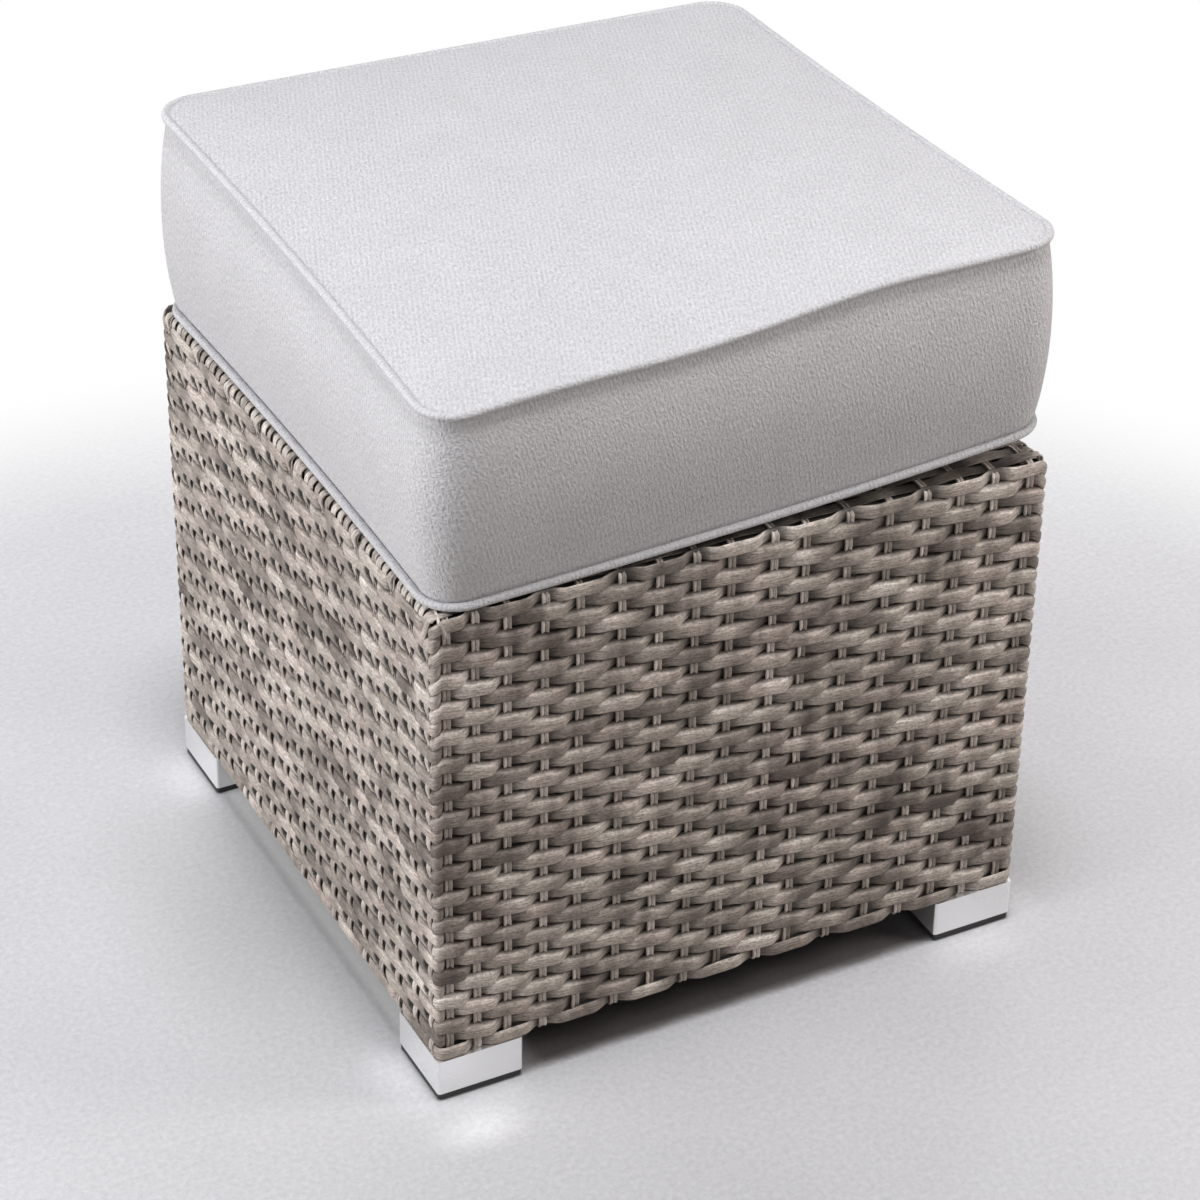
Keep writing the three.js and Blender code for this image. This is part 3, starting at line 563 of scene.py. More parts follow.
def weft_places(row):
    """Distances round the skin of the rings of a row's strand, whose ends meet behind a stake of the back."""
    middle = 2 * STAKES + STAKES // 2
    start = middle + (row + middle + 1) % 2
    order = np.arange(start, start + len(stakes) + 1)
    turns, number = np.divmod(order, len(stakes))
    steps = np.arange(len(stakes))[:, None] + WEFT_STEPS
    return np.interp(np.append(steps.ravel(), len(stakes)), order - start, stakes[number] + turns * LOOP)


def add_weft(strands, row):
    """A row's strand, which runs over and under the stakes of all four sides."""
    around = weft_places(row)
    wrapped = np.mod(around, LOOP)
    place, normal = outline(around)
    sides = side_share(wrapped)
    crest = crest_share(wrapped, row)
    behind, over = (lerp(front, left, sides) for front, left in zip(FRONT_SWING, LEFT_SWING))
    out = lerp(behind, over, (crest + 1) / 2) + wander(around, WEFT_OUT_WANDER, row)
    rim_drop = SIDE_RIM * sides
    height = SKIN_LOW.z + (row + 0.5) * (ROW_PITCH - rim_drop / ROWS)
    height += WEFT_TILT * tilt_share(wrapped, row) + wander(around, WEFT_UP_WANDER, row)
    half = lerp(WEFT_HALF_BEHIND, WEFT_HALF_WIDE, np.clip(crest + 1, 0, 1))
    half *= 1 + wander(around, WEFT_WIDTH_WANDER, row)
    section = flared_section()
    # Painted shade of the strand's recesses, which darkens its colour
    shade = weft_shade(wrapped, row, crest, section)
    if row in (0, ROWS - 1):
        half = np.minimum(half, WEFT_HALF_WIDE)
        height = SKIN_LOW.z + half if row == 0 else SKIN_HIGH.z - rim_drop - half
        section = section_of(STRIP_SHAPE, WEFT_CROWN, WEFT_BACK)
        shade = shade.min(axis=1, keepdims=True)
    centres = np.column_stack([place + normal * out[:, None], height])
    outward = np.column_stack([normal, np.zeros(len(normal))])
    strands.sweep(centres, Z_AXIS, outward, section, half, row, shade)


def add_wefts(strands, rows):
    for row in rows:
        add_weft(strands, row)


def add_double_stake(strands, centres, across, out, share, along, number, twins):
    """A stake's two strands, each with its ridge on the outer side."""
    kind, grain = twins
    for half in (-1, 1):
        twin = 2 * number + (half + 1) // 2
        widths = STAKE_HALF_WIDTH * share * (1 + wander(along, kind, twin))
        apart = np.outer(half * STAKE_SPACING / 2 * share, across)
        strands.sweep(centres + apart, across, out, ridged_section(-half), widths, grain + twin)


def add_long_stakes(strands, numbers):
    """Front stakes, which run on over the deck and down the back."""
    low = SKIN_LOW.z + STAKE_BACK + STAKE_FOOT
    corners = [(-SKIN_HALF + STAKE_HOOK, low), (-SKIN_HALF, low), (-SKIN_HALF, DECK_MIDDLE)]
    corners += [(-u, v) for u, v in corners[::-1]]
    radii = [STAKE_HOOK_RADIUS, RIM_RADIUS, RIM_RADIUS, STAKE_HOOK_RADIUS]
    path, out, along = rounded_path(corners, radii, ROW_PITCH / STAKE_STEPS, 1)
    is_deck = path[:, 1] > DECK_MIDDLE - RIM_RADIUS / 2
    share = np.where(is_deck, DECK_STAKE_SHARE, 1.0)
    rows_up = (path[:, 1] - SKIN_LOW.z) / ROW_PITCH - 0.5
    rows_in = (path[:, 0] - DECK_FRONT) / DECK_PITCH - 0.5
    for number in numbers:
        back_number = 3 * STAKES - 1 - number
        front_x = stakes[number] - STRAIGHT / 2
        back_x = STRAIGHT / 2 - stakes[back_number] + 2 * SIDE_LENGTH
        x = lerp(front_x, back_x, (path[:, 0] + SKIN_HALF) / (2 * SKIN_HALF))
        x += wander(along, LONG_STAKE_WANDER, number)
        side_number = np.where(path[:, 0] < 0, number, back_number)
        side_swing = -STAKE_SWING * np.cos(np.pi * (rows_up + side_number))
        deck_swing = -DECK_STAKE_SWING * np.cos(np.pi * (rows_in + number))
        swung = path + out * np.where(is_deck, deck_swing, side_swing)[:, None]
        centres = np.outer(x, X_AXIS) + upright(Y_AXIS, swung)
        add_double_stake(strands, centres, X_AXIS, upright(Y_AXIS, out), share, along, number, LONG_TWINS)


def add_side_stakes(strands, side):
    """Stakes of the left or right side, which loop over the rim and end on the deck."""
    plane = SKIN_HALF + SIDE_STAKE_OUT
    low, high = SKIN_LOW.z + STAKE_BACK + STAKE_FOOT, DECK_MIDDLE + SIDE_STAKE_LIFT
    corners = [(plane - STAKE_HOOK, low), (plane, low), (plane, high), (SKIN_HALF - SIDE_STAKE_REACH, high)]
    path, out, along = rounded_path(corners, [STAKE_HOOK_RADIUS, RIM_RADIUS], ROW_PITCH / STAKE_STEPS, -1)
    inward = np.clip((SKIN_HALF - SINK_START - path[:, 0]) / SINK_RUN, 0, 1)
    path[:, 1] -= SINK_DEPTH * inward * (path[:, 1] > DECK_MIDDLE - RIM_RADIUS)
    rows_up = (path[:, 1] - SKIN_LOW.z) / ROW_PITCH - 0.5
    outward, tangent = side_directions(side)
    for number in range(side * STAKES, (side + 1) * STAKES):
        swing = -SIDE_STAKE_SWING * np.cos(np.pi * (rows_up + number)) * np.abs(out[:, 0])
        offset = stakes[number] - side * SIDE_LENGTH - STRAIGHT / 2
        offset = offset + wander(along, SIDE_STAKE_WANDER, number)
        centres = upright(outward, path + out * swing[:, None]) + np.outer(offset, tangent)
        add_double_stake(strands, centres, tangent, upright(outward, out), 1.0, along, number, SIDE_TWINS)


def add_rim_loops(strands, side):
    """Short strands wound over the rim of the left or right side, side by side, each leaning its own way."""
    plane, top = SKIN_HALF + RIM_LOOP_OUT, SKIN_HIGH.z - STAKE_CROWN
    corners = [(plane, top - RIM_LOOP_FOOT), (plane, top), (SKIN_HALF - RIM_LOOP_REACH, top)]
    path, _, along = rounded_path(corners, [RIM_LOOP_RADIUS], RIM_LOOP_STEP, -1)
    way = np.gradient(path, axis=0)
    way /= np.linalg.norm(way, axis=1, keepdims=True)
    out = np.column_stack([way[:, 1], -way[:, 0]])
    share = along / along[-1]
    path[:, 1] -= np.maximum(share - 0.5, 0) * RIM_LOOP_SINK
    narrowing = 1 - RIM_LOOP_TAPER * np.maximum(share - RIM_LOOP_TAPER_START, 0)
    outward, tangent = side_directions(side)
    pitch = STAKE_PITCH / RIM_LOOPS
    count = int(STRAIGHT / pitch)
    for number in range(count):
        offset = (number + 0.5 - count / 2) * pitch + rng.uniform(-1, 1) * RIM_LOOP_JITTER
        lean = rng.uniform(-1, 1) * RIM_LOOP_LEAN
        centres = upright(outward, path) + np.outer(offset + lean * (share - 0.5), tangent)
        widths = RIM_LOOP_HALF * rng.uniform(*RIM_LOOP_WIDTHS) * narrowing
        grain = RIM_LOOP_GRAIN + side * count + number
        strands.sweep(centres, tangent, upright(outward, out), ridged_section(1), widths, grain)


def add_side_skin(strands, side):
    add_side_stakes(strands, side)
    add_rim_loops(strands, side)


def add_corner_straps(strands):
    """A wide and a narrow strand that lean together over the front left corner and turn in over the rim."""
    top = SKIN_HIGH.z
    turns = np.linspace(0, QUARTER, STRAP_BEND_RINGS)
    run_rings = len(STRAP_SINKS)
    run_in = np.linspace(0, STRAP_REACH, run_rings + 1)[1:]
    upward = np.zeros(STRAP_RISE_RINGS)
    inward = np.concatenate([upward, STRAP_BEND * (1 - np.cos(turns)), STRAP_BEND + run_in])
    tilt = np.concatenate([upward, turns, np.full(run_rings, QUARTER)])
    share = np.linspace(0, 1, len(tilt))
    stand_out = STRAP_STAND_OUT - inward
    stand_out[0] -= STRAP_TUCK
    for start, end, rows_down, half_width in STRAPS:
        rise = np.linspace(top - rows_down * ROW_PITCH, top - STRAP_BEND, STRAP_RISE_RINGS + 1)[:-1]
        bend = top - STRAP_BEND * (1 - np.sin(turns))
        height = np.concatenate([rise, bend, top - np.array(STRAP_SINKS)])
        place, normal = outline(lerp(start, end, np.minimum(share / STRAP_LEAN_SHARE, 1)) - ARC / 2)
        centres = np.column_stack([place + normal * stand_out[:, None], height])
        out = np.column_stack([normal * np.cos(tilt)[:, None], np.sin(tilt)])
        across = np.column_stack([-normal[:, 1], normal[:, 0], np.zeros(len(normal))])
        widths = half_width * lerp(1, STRAP_TAPER, share)
        section = section_of(STRIP_SHAPE, STRAP_CROWN, STRAP_BACK)
        strands.sweep(centres, across, out, section, widths, STRAP_GRAIN + rows_down)


def add_deck(strands):
    """Strands across the seat, over and under the long stakes. Their ends turn down behind the side skins."""
    edge, drop = SKIN_HALF - DECK_END_INSET, SKIN_HIGH.z - DECK_END_DROP
    corners = [(-edge, drop), (-edge, DECK_MIDDLE), (edge, DECK_MIDDLE), (edge, drop)]
    path, out, along = rounded_path(corners, [RIM_RADIUS, RIM_RADIUS], STAKE_PITCH / DECK_STEPS, 1)
    number = np.interp(path[:, 0], stakes[:STAKES] - STRAIGHT / 2, np.arange(STAKES))
    flat = np.clip((DECK_MIDDLE + DECK_FLAT_START - path[:, 1]) / DECK_FLAT_RUN, 0, 1)
    section = section_of(STRIP_SHAPE, DECK_CROWN, DECK_BACK)
    for row in range(DECK_ROWS):
        crest = lerp(np.sin(QUARTER * np.cos(np.pi * (number + row))), 0, flat)
        y = DECK_FRONT + (row + 0.5) * DECK_PITCH + wander(along, DECK_WANDER, row)
        centres = upright(X_AXIS, path + out * (DECK_SWING * crest)[:, None]) + np.outer(y, Y_AXIS)
        half = lerp(*DECK_HALF_WIDTHS, (crest + 1) / 2)
        # Painted shade: the deck's strands are darkened, most where they pass under a stake
        shade = lerp(*DECK_SHADES, (crest + 1) / 2)[:, None]
        strands.sweep(centres, Y_AXIS, upright(X_AXIS, out), section, half, DECK_GRAIN + row, shade)


def build_wicker():
    """The pieces of the woven skin, by name."""
    middle = STAKES // 2
    bands = zip(WEFT_BANDS[:-1], WEFT_BANDS[1:])
    parts = [(f"weft_{number}", add_wefts, range(*band)) for number, band in enumerate(bands, 1)]
    parts += [
        ("stakes_long_left", add_long_stakes, range(middle)),
        ("stakes_long_right", add_long_stakes, range(middle, STAKES)),
        ("stakes_right", add_side_skin, 1),
        ("stakes_left", add_side_skin, 3),
        ("corner_straps", add_corner_straps),
        ("deck_strands", add_deck),
    ]
    pieces = {}
    for name, add, *which in parts:
        strands = Strands()
        add(strands, *which)
        pieces[name] = strands.piece(name)
        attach(pieces[name], STOOL)
    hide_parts("woven_front", "woven_right", "woven_back", "woven_left")
    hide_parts("woven_deck")
    return pieces


# Cushion


def seam_outline(inset):
    """Even points round the seam, from the middle of its front left corner, and their outward directions."""
    arc = SEAM_RADIUS * QUARTER / 2
    run = np.arange(SEAM_CELLS) / SEAM_CELLS * 2 * (SEAM_STRAIGHT + arc)
    from_middle = run - arc - SEAM_STRAIGHT
    along = np.clip(from_middle, -SEAM_STRAIGHT, SEAM_STRAIGHT)
    angle = (from_middle - along) / SEAM_RADIUS
    sine, cosine = np.sin(angle), np.cos(angle)
    pull = SEAM_DRAW_IN * (1 - (along / SEAM_STRAIGHT) ** 2) * (angle == 0)
    x, y = along + (SEAM_RADIUS - inset) * sine, -SEAM_STRAIGHT - (SEAM_RADIUS - inset) * cosine
    places, normals = [], []
    for side in range(4):
        is_back = side == 2  # the zip keeps the back straight
        places.append(turned(x, y if is_back else y + pull, side * QUARTER))
        normals.append(turned(sine, -cosine, side * QUARTER))
    return np.concatenate(places), np.concatenate(normals)


def across_share(at):
    """Shares of the way from one side of the seam to the other."""
    return 0.5 + at / (2 * SEAM_HALF)


def bumps(at, shapes):
    """The sum of some bumps, each given as its middle, width and height."""
    return sum(height * np.exp(-(((at - middle) / width) ** 2)) for middle, width, height in shapes)


def front_wave(xy):
    """Unevenness of the upper front seam, which fades out over the top."""
    near = np.clip(1 - (xy[..., 1] + SEAM_HALF) / WAVE_REACH, 0, 1) ** 2
    return near * bumps(across_share(xy[..., 0]), SEAM_WAVES)


def corner_lift(lifts, power, xy):
    """Heights that follow the lifts of the four corners, more closely round them for a higher power."""
    right, back = across_share(xy[..., 0]), across_share(xy[..., 1])
    left, front = 1 - right, 1 - back
    nearness = left * front, right * front, right * back, left * back
    return sum(lift * np.maximum(near, 0) ** power for lift, near in zip(lifts, nearness))


def laid(xy, z):
    """Heights of the cushion's points as it lies on the stool."""
    share = np.clip((z - LOW_SEAM) / SEAM_HEIGHT, 0, 1)
    low = corner_lift(BOTTOM_LIFT, BOTTOM_LIFT_POWER, xy) * (1 - share)
    high = (corner_lift(TOP_LIFT, 1, xy) + front_wave(xy)) * share * share
    return z + low + high


def band_shares():
    """Heights of the band's rows, as shares. Two close pairs bound the zip's window."""
    window = [bound + edge for bound in ZIP_SHARES for edge in (-ZIP_EDGE_SHARE, ZIP_EDGE_SHARE)]
    return [*LOW_ROWS, *window, *np.linspace(*MIDDLE_ROWS, MIDDLE_ROW_COUNT), *HIGH_ROWS]


def in_zip_window(row):
    return (row[:, 1] > 0) & (np.abs(row[:, 0]) < SEAM_STRAIGHT * ZIP_HALF_SHARE)


def band_row(share):
    """A row of the side band's points, with its bulge, its puckers and the recess for the zip."""
    bulge = SIDE_BULGE * (4 * share * (1 - share)) ** BULGE_POWER
    groove = SEAM_GROOVE * max(1 - share / GROOVE_SHARE, 0)
    xy, normal = seam_outline(SEAM_TUCK - bulge + groove)
    on_front = xy[:, 1] < -SEAM_HALF + SEAM_RADIUS
    pucker = bumps(across_share(xy[:, 0]), PUCKERS) * on_front * 4 * share * (1 - share) ** 2
    xy = xy + normal * pucker[:, None]
    row = np.column_stack([xy, laid(xy, lerp(LOW_SEAM, HIGH_SEAM, share))])
    if ZIP_SHARES[0] < share < ZIP_SHARES[1]:
        row[:, 1] -= ZIP_RECESS * in_zip_window(row)
    return row


def held(row, share):
    """Which of a band row's points hold still as the cloth swells: all at a seam, and those at the zip."""
    if share in (0, 1):
        return np.ones(len(row), bool)
    return in_zip_window(row) & (share < ZIP_SHARES[1] + ZIP_HOLD_SHARE)


def tuck_row(seam_z, inset, rise):
    xy, _ = seam_outline(inset)
    return np.column_stack([xy, laid(xy, seam_z) + rise])


def twill_lay(u, v, slant, kind):
    """Cloth coordinates: across the twill's lines, along them, and which cloth it is."""
    return np.column_stack([turned(u, v, -slant), np.full(len(u), float(kind))])


def panel_lay(points):
    return twill_lay(points[:, 0], points[:, 1], TOP_SLANT, PANEL_CLOTH)


def band_lay(share):
    """Cloth coordinates of a band row. The cloth's ends meet at the back."""
    count = 4 * SEAM_CELLS
    around = (np.arange(count) + 1.5 * SEAM_CELLS) % count / count * SEAM_LENGTH
    return twill_lay(around, np.full(count, share * SEAM_HEIGHT), SIDE_SLANT, BAND_CLOTH)


def corner_lay(lay, faces, *periods):
    """Cloth coordinates at the corners of each face, with no jump where the cloth's ends meet."""
    corners = lay[np.array(faces)]
    for period in np.array(periods):
        turns = np.round((corners - corners[:, :1]) @ period / (period @ period))
        corners = corners - turns[:, :, None] * period
    return corners


def square_panel(rim):
    """A grid of points inside a closed rim of 4 * SEAM_CELLS points, by blending opposite sides."""
    cells = SEAM_CELLS
    low, right = rim[: cells + 1], rim[cells : 2 * cells + 1]
    high = rim[2 * cells : 3 * cells + 1][::-1]
    left = np.vstack([rim[3 * cells :], rim[:1]])[::-1]
    u = np.linspace(0, 1, cells + 1)[None, :, None]
    v = np.linspace(0, 1, cells + 1)[:, None, None]
    across = lerp(left[:, None, :], right[:, None, :], u)
    up = lerp(low[None, :, :], high[None, :, :], v)
    corners = lerp(lerp(low[0], low[-1], u), lerp(high[0], high[-1], u), v)
    return across + up - corners


def panel_height(xy, is_top):
    if not is_top:
        return LOW_SEAM - PANEL_RISE + corner_lift(BOTTOM_LIFT, BOTTOM_LIFT_POWER, xy)
    shares = np.abs(xy) / (SEAM_HALF - PANEL_INSET)
    from_middle = (shares**PANEL_SQUARENESS).sum(axis=-1) ** (1 / PANEL_SQUARENESS)
    return laid(xy, HIGH_SEAM) + lerp(CROWN, PANEL_RISE, np.clip(from_middle, 0, 1) ** CROWN_POWER)


def panel(rim, first, total, is_top):
    """A panel's faces, and its points apart from the rim's own, which start at number first."""
    size = SEAM_CELLS + 1
    grid = square_panel(rim)
    grid[:, :, 2] = panel_height(grid[:, :, :2], is_top)
    index = -np.ones((size, size), int)
    ring = np.arange(4 * SEAM_CELLS) + first
    index[0, :] = ring[0:size]
    index[:, -1] = ring[SEAM_CELLS : 2 * SEAM_CELLS + 1]
    index[-1, ::-1] = ring[2 * SEAM_CELLS : 3 * SEAM_CELLS + 1]
    index[::-1, 0] = np.append(ring[3 * SEAM_CELLS :], ring[0])
    inner = index < 0
    index[inner] = total + np.arange(inner.sum())
    corners = [index[:-1, :-1], index[:-1, 1:], index[1:, 1:], index[1:, :-1]]
    quads = np.stack(corners, -1).reshape(-1, 4)
    return (quads if is_top else quads[:, ::-1]).tolist(), grid[inner]


def cushion_mesh():
    """Bottom panel, band and top panel as one closed mesh: points, faces, cloth coordinates, held points."""
    count = 4 * SEAM_CELLS
    shares = band_shares()
    band = [band_row(share) for share in shares]
    below = [tuck_row(LOW_SEAM, inset, -rise) for inset, rise in TUCKS[::-1]]
    above = [tuck_row(HIGH_SEAM, inset, rise) for inset, rise in TUCKS]
    points = below + band + above
    faces = ring_quads(len(points), count).tolist()
    lay = [panel_lay(row) for row in below] + [band_lay(share) for share in shares]
    lay += [panel_lay(row) for row in above]
    tucked = [np.ones(count, bool)] * len(TUCKS)
    still = tucked + [held(row, share) for row, share in zip(band, shares)] + tucked
    still[-1] = np.zeros(count, bool)  # the top panel's rim is free
    total = len(points) * count
    for is_top, rim, first in ((False, below[0], 0), (True, above[-1], total - count)):
        quads, inside = panel(rim, first, total, is_top)
        faces += quads
        points.append(inside)
        lay.append(panel_lay(inside))
        still.append(np.full(len(inside), not is_top))
        total += len(inside)
    return np.concatenate(points), faces, np.concatenate(lay), np.flatnonzero(np.concatenate(still))


def inflate(piece, pinned):
    """Swells the cover with cloth pressure while its seams, its underside and the zip's window hold still."""
    group = piece.vertex_groups.new(name=CLOTH_SETTINGS["vertex_group_mass"])
    group.add(pinned.tolist(), 1.0, "REPLACE")
    before = np.array([vertex.co for vertex in piece.data.vertices])
    cloth = piece.modifiers.new("cloth", "CLOTH")
    cloth.settings.effector_weights.gravity = 0
    for key, value in CLOTH_SETTINGS.items():
        setattr(cloth.settings, key, value)
    scene = bpy.context.scene
    for step in range(1, CLOTH_STEPS + 1):
        scene.frame_set(step)
    evaluated = piece.evaluated_get(bpy.context.evaluated_depsgraph_get())
    move = np.array([vertex.co for vertex in evaluated.data.vertices]) - before
    piece.modifiers.remove(cloth)
    scene.frame_set(1)
    reach = np.linalg.norm(move, axis=1, keepdims=True)
    move *= CLOTH_CAP / np.maximum(reach, CLOTH_CAP)
    piece.vertex_groups.remove(group)
    piece.data.vertices.foreach_set("co", (before + move).astype(np.float32).ravel())
    piece.data.update()


def build_cover():
    points, faces, lay, still = cushion_mesh()
    period = turned(SEAM_LENGTH, 0, -SIDE_SLANT)
    corners = corner_lay(lay, faces, (*period, 0))
    cover = make_mesh("cushion_cover", points, faces, [("cloth", "CORNER", corners)])
    inflate(cover, still)
    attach(cover, CUSHION)
    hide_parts("cover_side_band", "cover_top", "cover_bottom", "foam_core")
    return cover


def build_piping(name, node, seam_z):
    """A cord that follows a seam."""
    xy, normal = seam_outline(0)
    count = len(xy)
    angle = np.arange(CORD_SIDES) / CORD_SIDES * 2 * np.pi
    points = np.empty((count, CORD_SIDES, 3))
    points[:, :, :2] = xy[:, None, :] + normal[:, None, :] * (CORD_RADIUS * np.cos(angle))[:, None]
    points[:, :, 2] = laid(xy, seam_z)[:, None] + CORD_RADIUS * np.sin(angle)
    faces = ring_quads(count, CORD_SIDES, closed=True)[:, [0, 3, 2, 1]].tolist()
    lay = np.empty(points.shape)
    lay[:, :, 0] = (np.arange(count) / count * SEAM_LENGTH)[:, None]
    lay[:, :, 1] = angle * CORD_RADIUS
    lay[:, :, 2] = CORD_CLOTH
    lay = corner_lay(lay.reshape(-1, 3), faces, (SEAM_LENGTH, 0, 0), (0, 2 * np.pi * CORD_RADIUS, 0))
    piece = make_mesh(name, points.reshape(-1, 3), faces, [("cloth", "CORNER", lay)])
    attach(piece, CUSHION)
    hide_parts(node)
    return piece


def build_zip():
    """The zip's teeth, in two rows that mesh."""
    low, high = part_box("zip_coil")
    middle = (low + high) / 2
    half_size = Vector((TOOTH_PITCH * TOOTH_LENGTH_SHARE, (high.y - low.y) / 2, TOOTH_HALF_HEIGHT))
    points, faces = [], []
    for number in range(int((high.x - low.x) / TOOTH_PITCH)):
        offset = TOOTH_OFFSET if number % 2 else -TOOTH_OFFSET
        centre = Vector((low.x + (number + 0.5) * TOOTH_PITCH, middle.y, middle.z + offset))
        faces += [[len(points) + corner for corner in face] for face in TOOTH_FACES]
        for x, y, z in TOOTH_CORNERS:
            taper = TOOTH_TAPER if y > 0 else 1
            points.append(centre + half_size * Vector((x * taper, y, z * taper)))
    teeth = make_mesh("zip_teeth", points, faces, smooth=False)
    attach(teeth, CUSHION)
    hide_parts("zip_coil")
    return teeth


# Shader nodes


def material(name, settings):
    """A new material with its tree and its shader, whose inputs are set by name."""
    made = bpy.data.materials.new(name)
    made.use_nodes = True
    shader = made.node_tree.nodes["Principled BSDF"]
    for key, value in settings.items():
        shader.inputs[key].default_value = value
    return made, made.node_tree, shader


def add_node(tree, kind, inputs=None, **settings):
    made = tree.nodes.new(kind)
    for key, value in settings.items():
        setattr(made, key, value)
    for key, value in (inputs or {}).items():
        if isinstance(value, bpy.types.NodeSocket):
            tree.links.new(value, made.inputs[key])
        else:
            made.inputs[key].default_value = value
    return made


def math_node(tree, operation, first, second=0.0):
    return add_node(tree, "ShaderNodeMath", {0: first, 1: second}, operation=operation).outputs[0]


def vector_node(tree, operation, *vectors):
    return add_node(tree, "ShaderNodeVectorMath", dict(enumerate(vectors)), operation=operation).outputs


def weighed(tree, first, first_share, second, second_share):
    """The sum of two values, each times its share."""
    first = math_node(tree, "MULTIPLY", first, first_share)
    return math_node(tree, "ADD", first, math_node(tree, "MULTIPLY", second, second_share))


def separated(tree, vector):
    return add_node(tree, "ShaderNodeSeparateXYZ", {0: vector}).outputs


def attribute(tree, name):
    return add_node(tree, "ShaderNodeAttribute", attribute_name=name).outputs


def object_place(tree):
    return add_node(tree, "ShaderNodeTexCoord").outputs["Object"]


def noise_at(tree, vector, noise):
    scale, detail, roughness = noise
    vector = vector_node(tree, "MULTIPLY", vector, scale)[0]
    inputs = {"Vector": vector, "Scale": 1.0, "Detail": detail, "Roughness": roughness}
    return add_node(tree, "ShaderNodeTexNoise", inputs).outputs["Fac"]


def ramp(tree, factor, stops):
    made = add_node(tree, "ShaderNodeValToRGB", {"Fac": factor})
    elements = made.color_ramp.elements
    while len(elements) < len(stops):
        elements.new(0.5)
    for element, (position, colour) in zip(elements, stops):
        element.position = position
        element.color = (*colour, 1)
    return made.outputs["Color"]


def mixed(tree, first, second, blend, factor=1.0):
    inputs = {0: factor, 6: first, 7: second}
    return add_node(tree, "ShaderNodeMix", inputs, data_type="RGBA", blend_type=blend).outputs[2]


def spread(tree, value, low, high, to_low, to_high, curve="LINEAR"):
    """Turns the range from low to high into the range from to_low to to_high."""
    inputs = {"Value": value, "From Min": low, "From Max": high, "To Min": to_low, "To Max": to_high}
    return add_node(tree, "ShaderNodeMapRange", inputs, interpolation_type=curve).outputs[0]


def add_bump(tree, shader, height, strength, distance):
    made = add_node(tree, "ShaderNodeBump", {"Height": height, "Strength": strength, "Distance": distance})
    tree.links.new(made.outputs[0], shader.inputs["Normal"])


# Materials


def wicker_material(name, stops):
    """Strands in greys and browns that change along each strand and in patches over the whole skin, darkened
    by painted shade in their recesses.
    """
    made, tree, shader = material(name, WICKER_SHADER)
    lay, place = attribute(tree, "lay")["Vector"], object_place(tree)
    x, y, _ = separated(tree, place)
    by_row = add_node(tree, "ShaderNodeCombineXYZ", {0: x, 1: y, 2: separated(tree, lay)[2]}).outputs[0]
    by_strand, by_place = noise_at(tree, lay, STRAND_PATCHES), noise_at(tree, by_row, PLACE_PATCHES)
    patches = weighed(tree, by_strand, STRAND_SHARE, by_place, PLACE_SHARE)
    patches = math_node(tree, "SUBTRACT", patches, PATCH_SHIFT + EVEN_TONE)
    even = spread(tree, math_node(tree, "ABSOLUTE", x), *EVEN_REACH, 1.0, EVEN_SHARE)
    patches = math_node(tree, "ADD", math_node(tree, "MULTIPLY", patches, even), EVEN_TONE)
    tint = ramp(tree, noise_at(tree, place, TINT_PATCHES), TINTS)
    colour = mixed(tree, ramp(tree, patches, stops), tint, "MULTIPLY")
    fine = weighed(tree, noise_at(tree, lay, STREAKS), 0.5, noise_at(tree, lay, MOTTLE), 0.5)
    colour = mixed(tree, colour, spread(tree, fine, *GRAIN_SHADE), "MULTIPLY")
    # Painted shade: darkens the strands where they dive behind stakes, in the side slots, at their edges and
    # backs, and on the deck
    hidden = attribute(tree, "hidden")["Fac"]
    colour = mixed(tree, colour, spread(tree, hidden, 0.0, 1.0, 1.0, PAINTED_SHADE_DARKEST), "MULTIPLY")
    tree.links.new(colour, shader.inputs["Base Color"])
    tree.links.new(spread(tree, fine, *GRAIN_GLOSS), shader.inputs["Roughness"])
    add_bump(tree, shader, fine, *WICKER_BUMP)
    return made


def cloth_material():
    """Plain-coloured twill: slanting lines, broken up by the yarn's own unevenness."""
    made, tree, shader = material("cover_cloth", CLOTH_SHADER)
    lay = attribute(tree, "cloth")["Vector"]
    yarn, fuzz, clouds = (noise_at(tree, lay, noise) for noise in (YARN, FUZZ, CLOTH_CLOUDS))
    turn = weighed(tree, separated(tree, lay)[0], 2 * math.pi / TWILL_PITCH, yarn, TWILL_WOBBLE)
    lines = math_node(tree, "MULTIPLY", math_node(tree, "SINE", turn), TWILL_DEPTH)
    height = math_node(tree, "ADD", lines, math_node(tree, "ADD", yarn, fuzz))
    shade = spread(tree, height, *CLOTH_SHADE)
    shade = math_node(tree, "MULTIPLY", shade, spread(tree, clouds, *CLOTH_CLOUD_SHADE))
    tree.links.new(mixed(tree, CLOTH_COLOUR, shade, "MULTIPLY"), shader.inputs["Base Color"])
    add_bump(tree, shader, height, *CLOTH_BUMP)
    return made


def plain_material(name, colour, roughness, metallic, scale):
    """A plain colour with a fine speckle in tone and gloss."""
    made, tree, shader = material(name, {"Metallic": metallic})
    noise = ((scale, scale, scale), SPECKLE_DETAIL, SPECKLE_ROUGHNESS)
    speckle = noise_at(tree, object_place(tree), noise)
    dark = tuple(SPECKLE_DARK * channel for channel in colour)
    stops = zip(SPECKLE_RANGE, (dark, colour))
    tree.links.new(ramp(tree, speckle, list(stops)), shader.inputs["Base Color"])
    gloss = (roughness * share for share in SPECKLE_GLOSS)
    tree.links.new(spread(tree, speckle, 0.0, 1.0, *gloss), shader.inputs["Roughness"])
    return made


def paint(piece, made):
    piece.data.materials.clear()
    piece.data.materials.append(made)


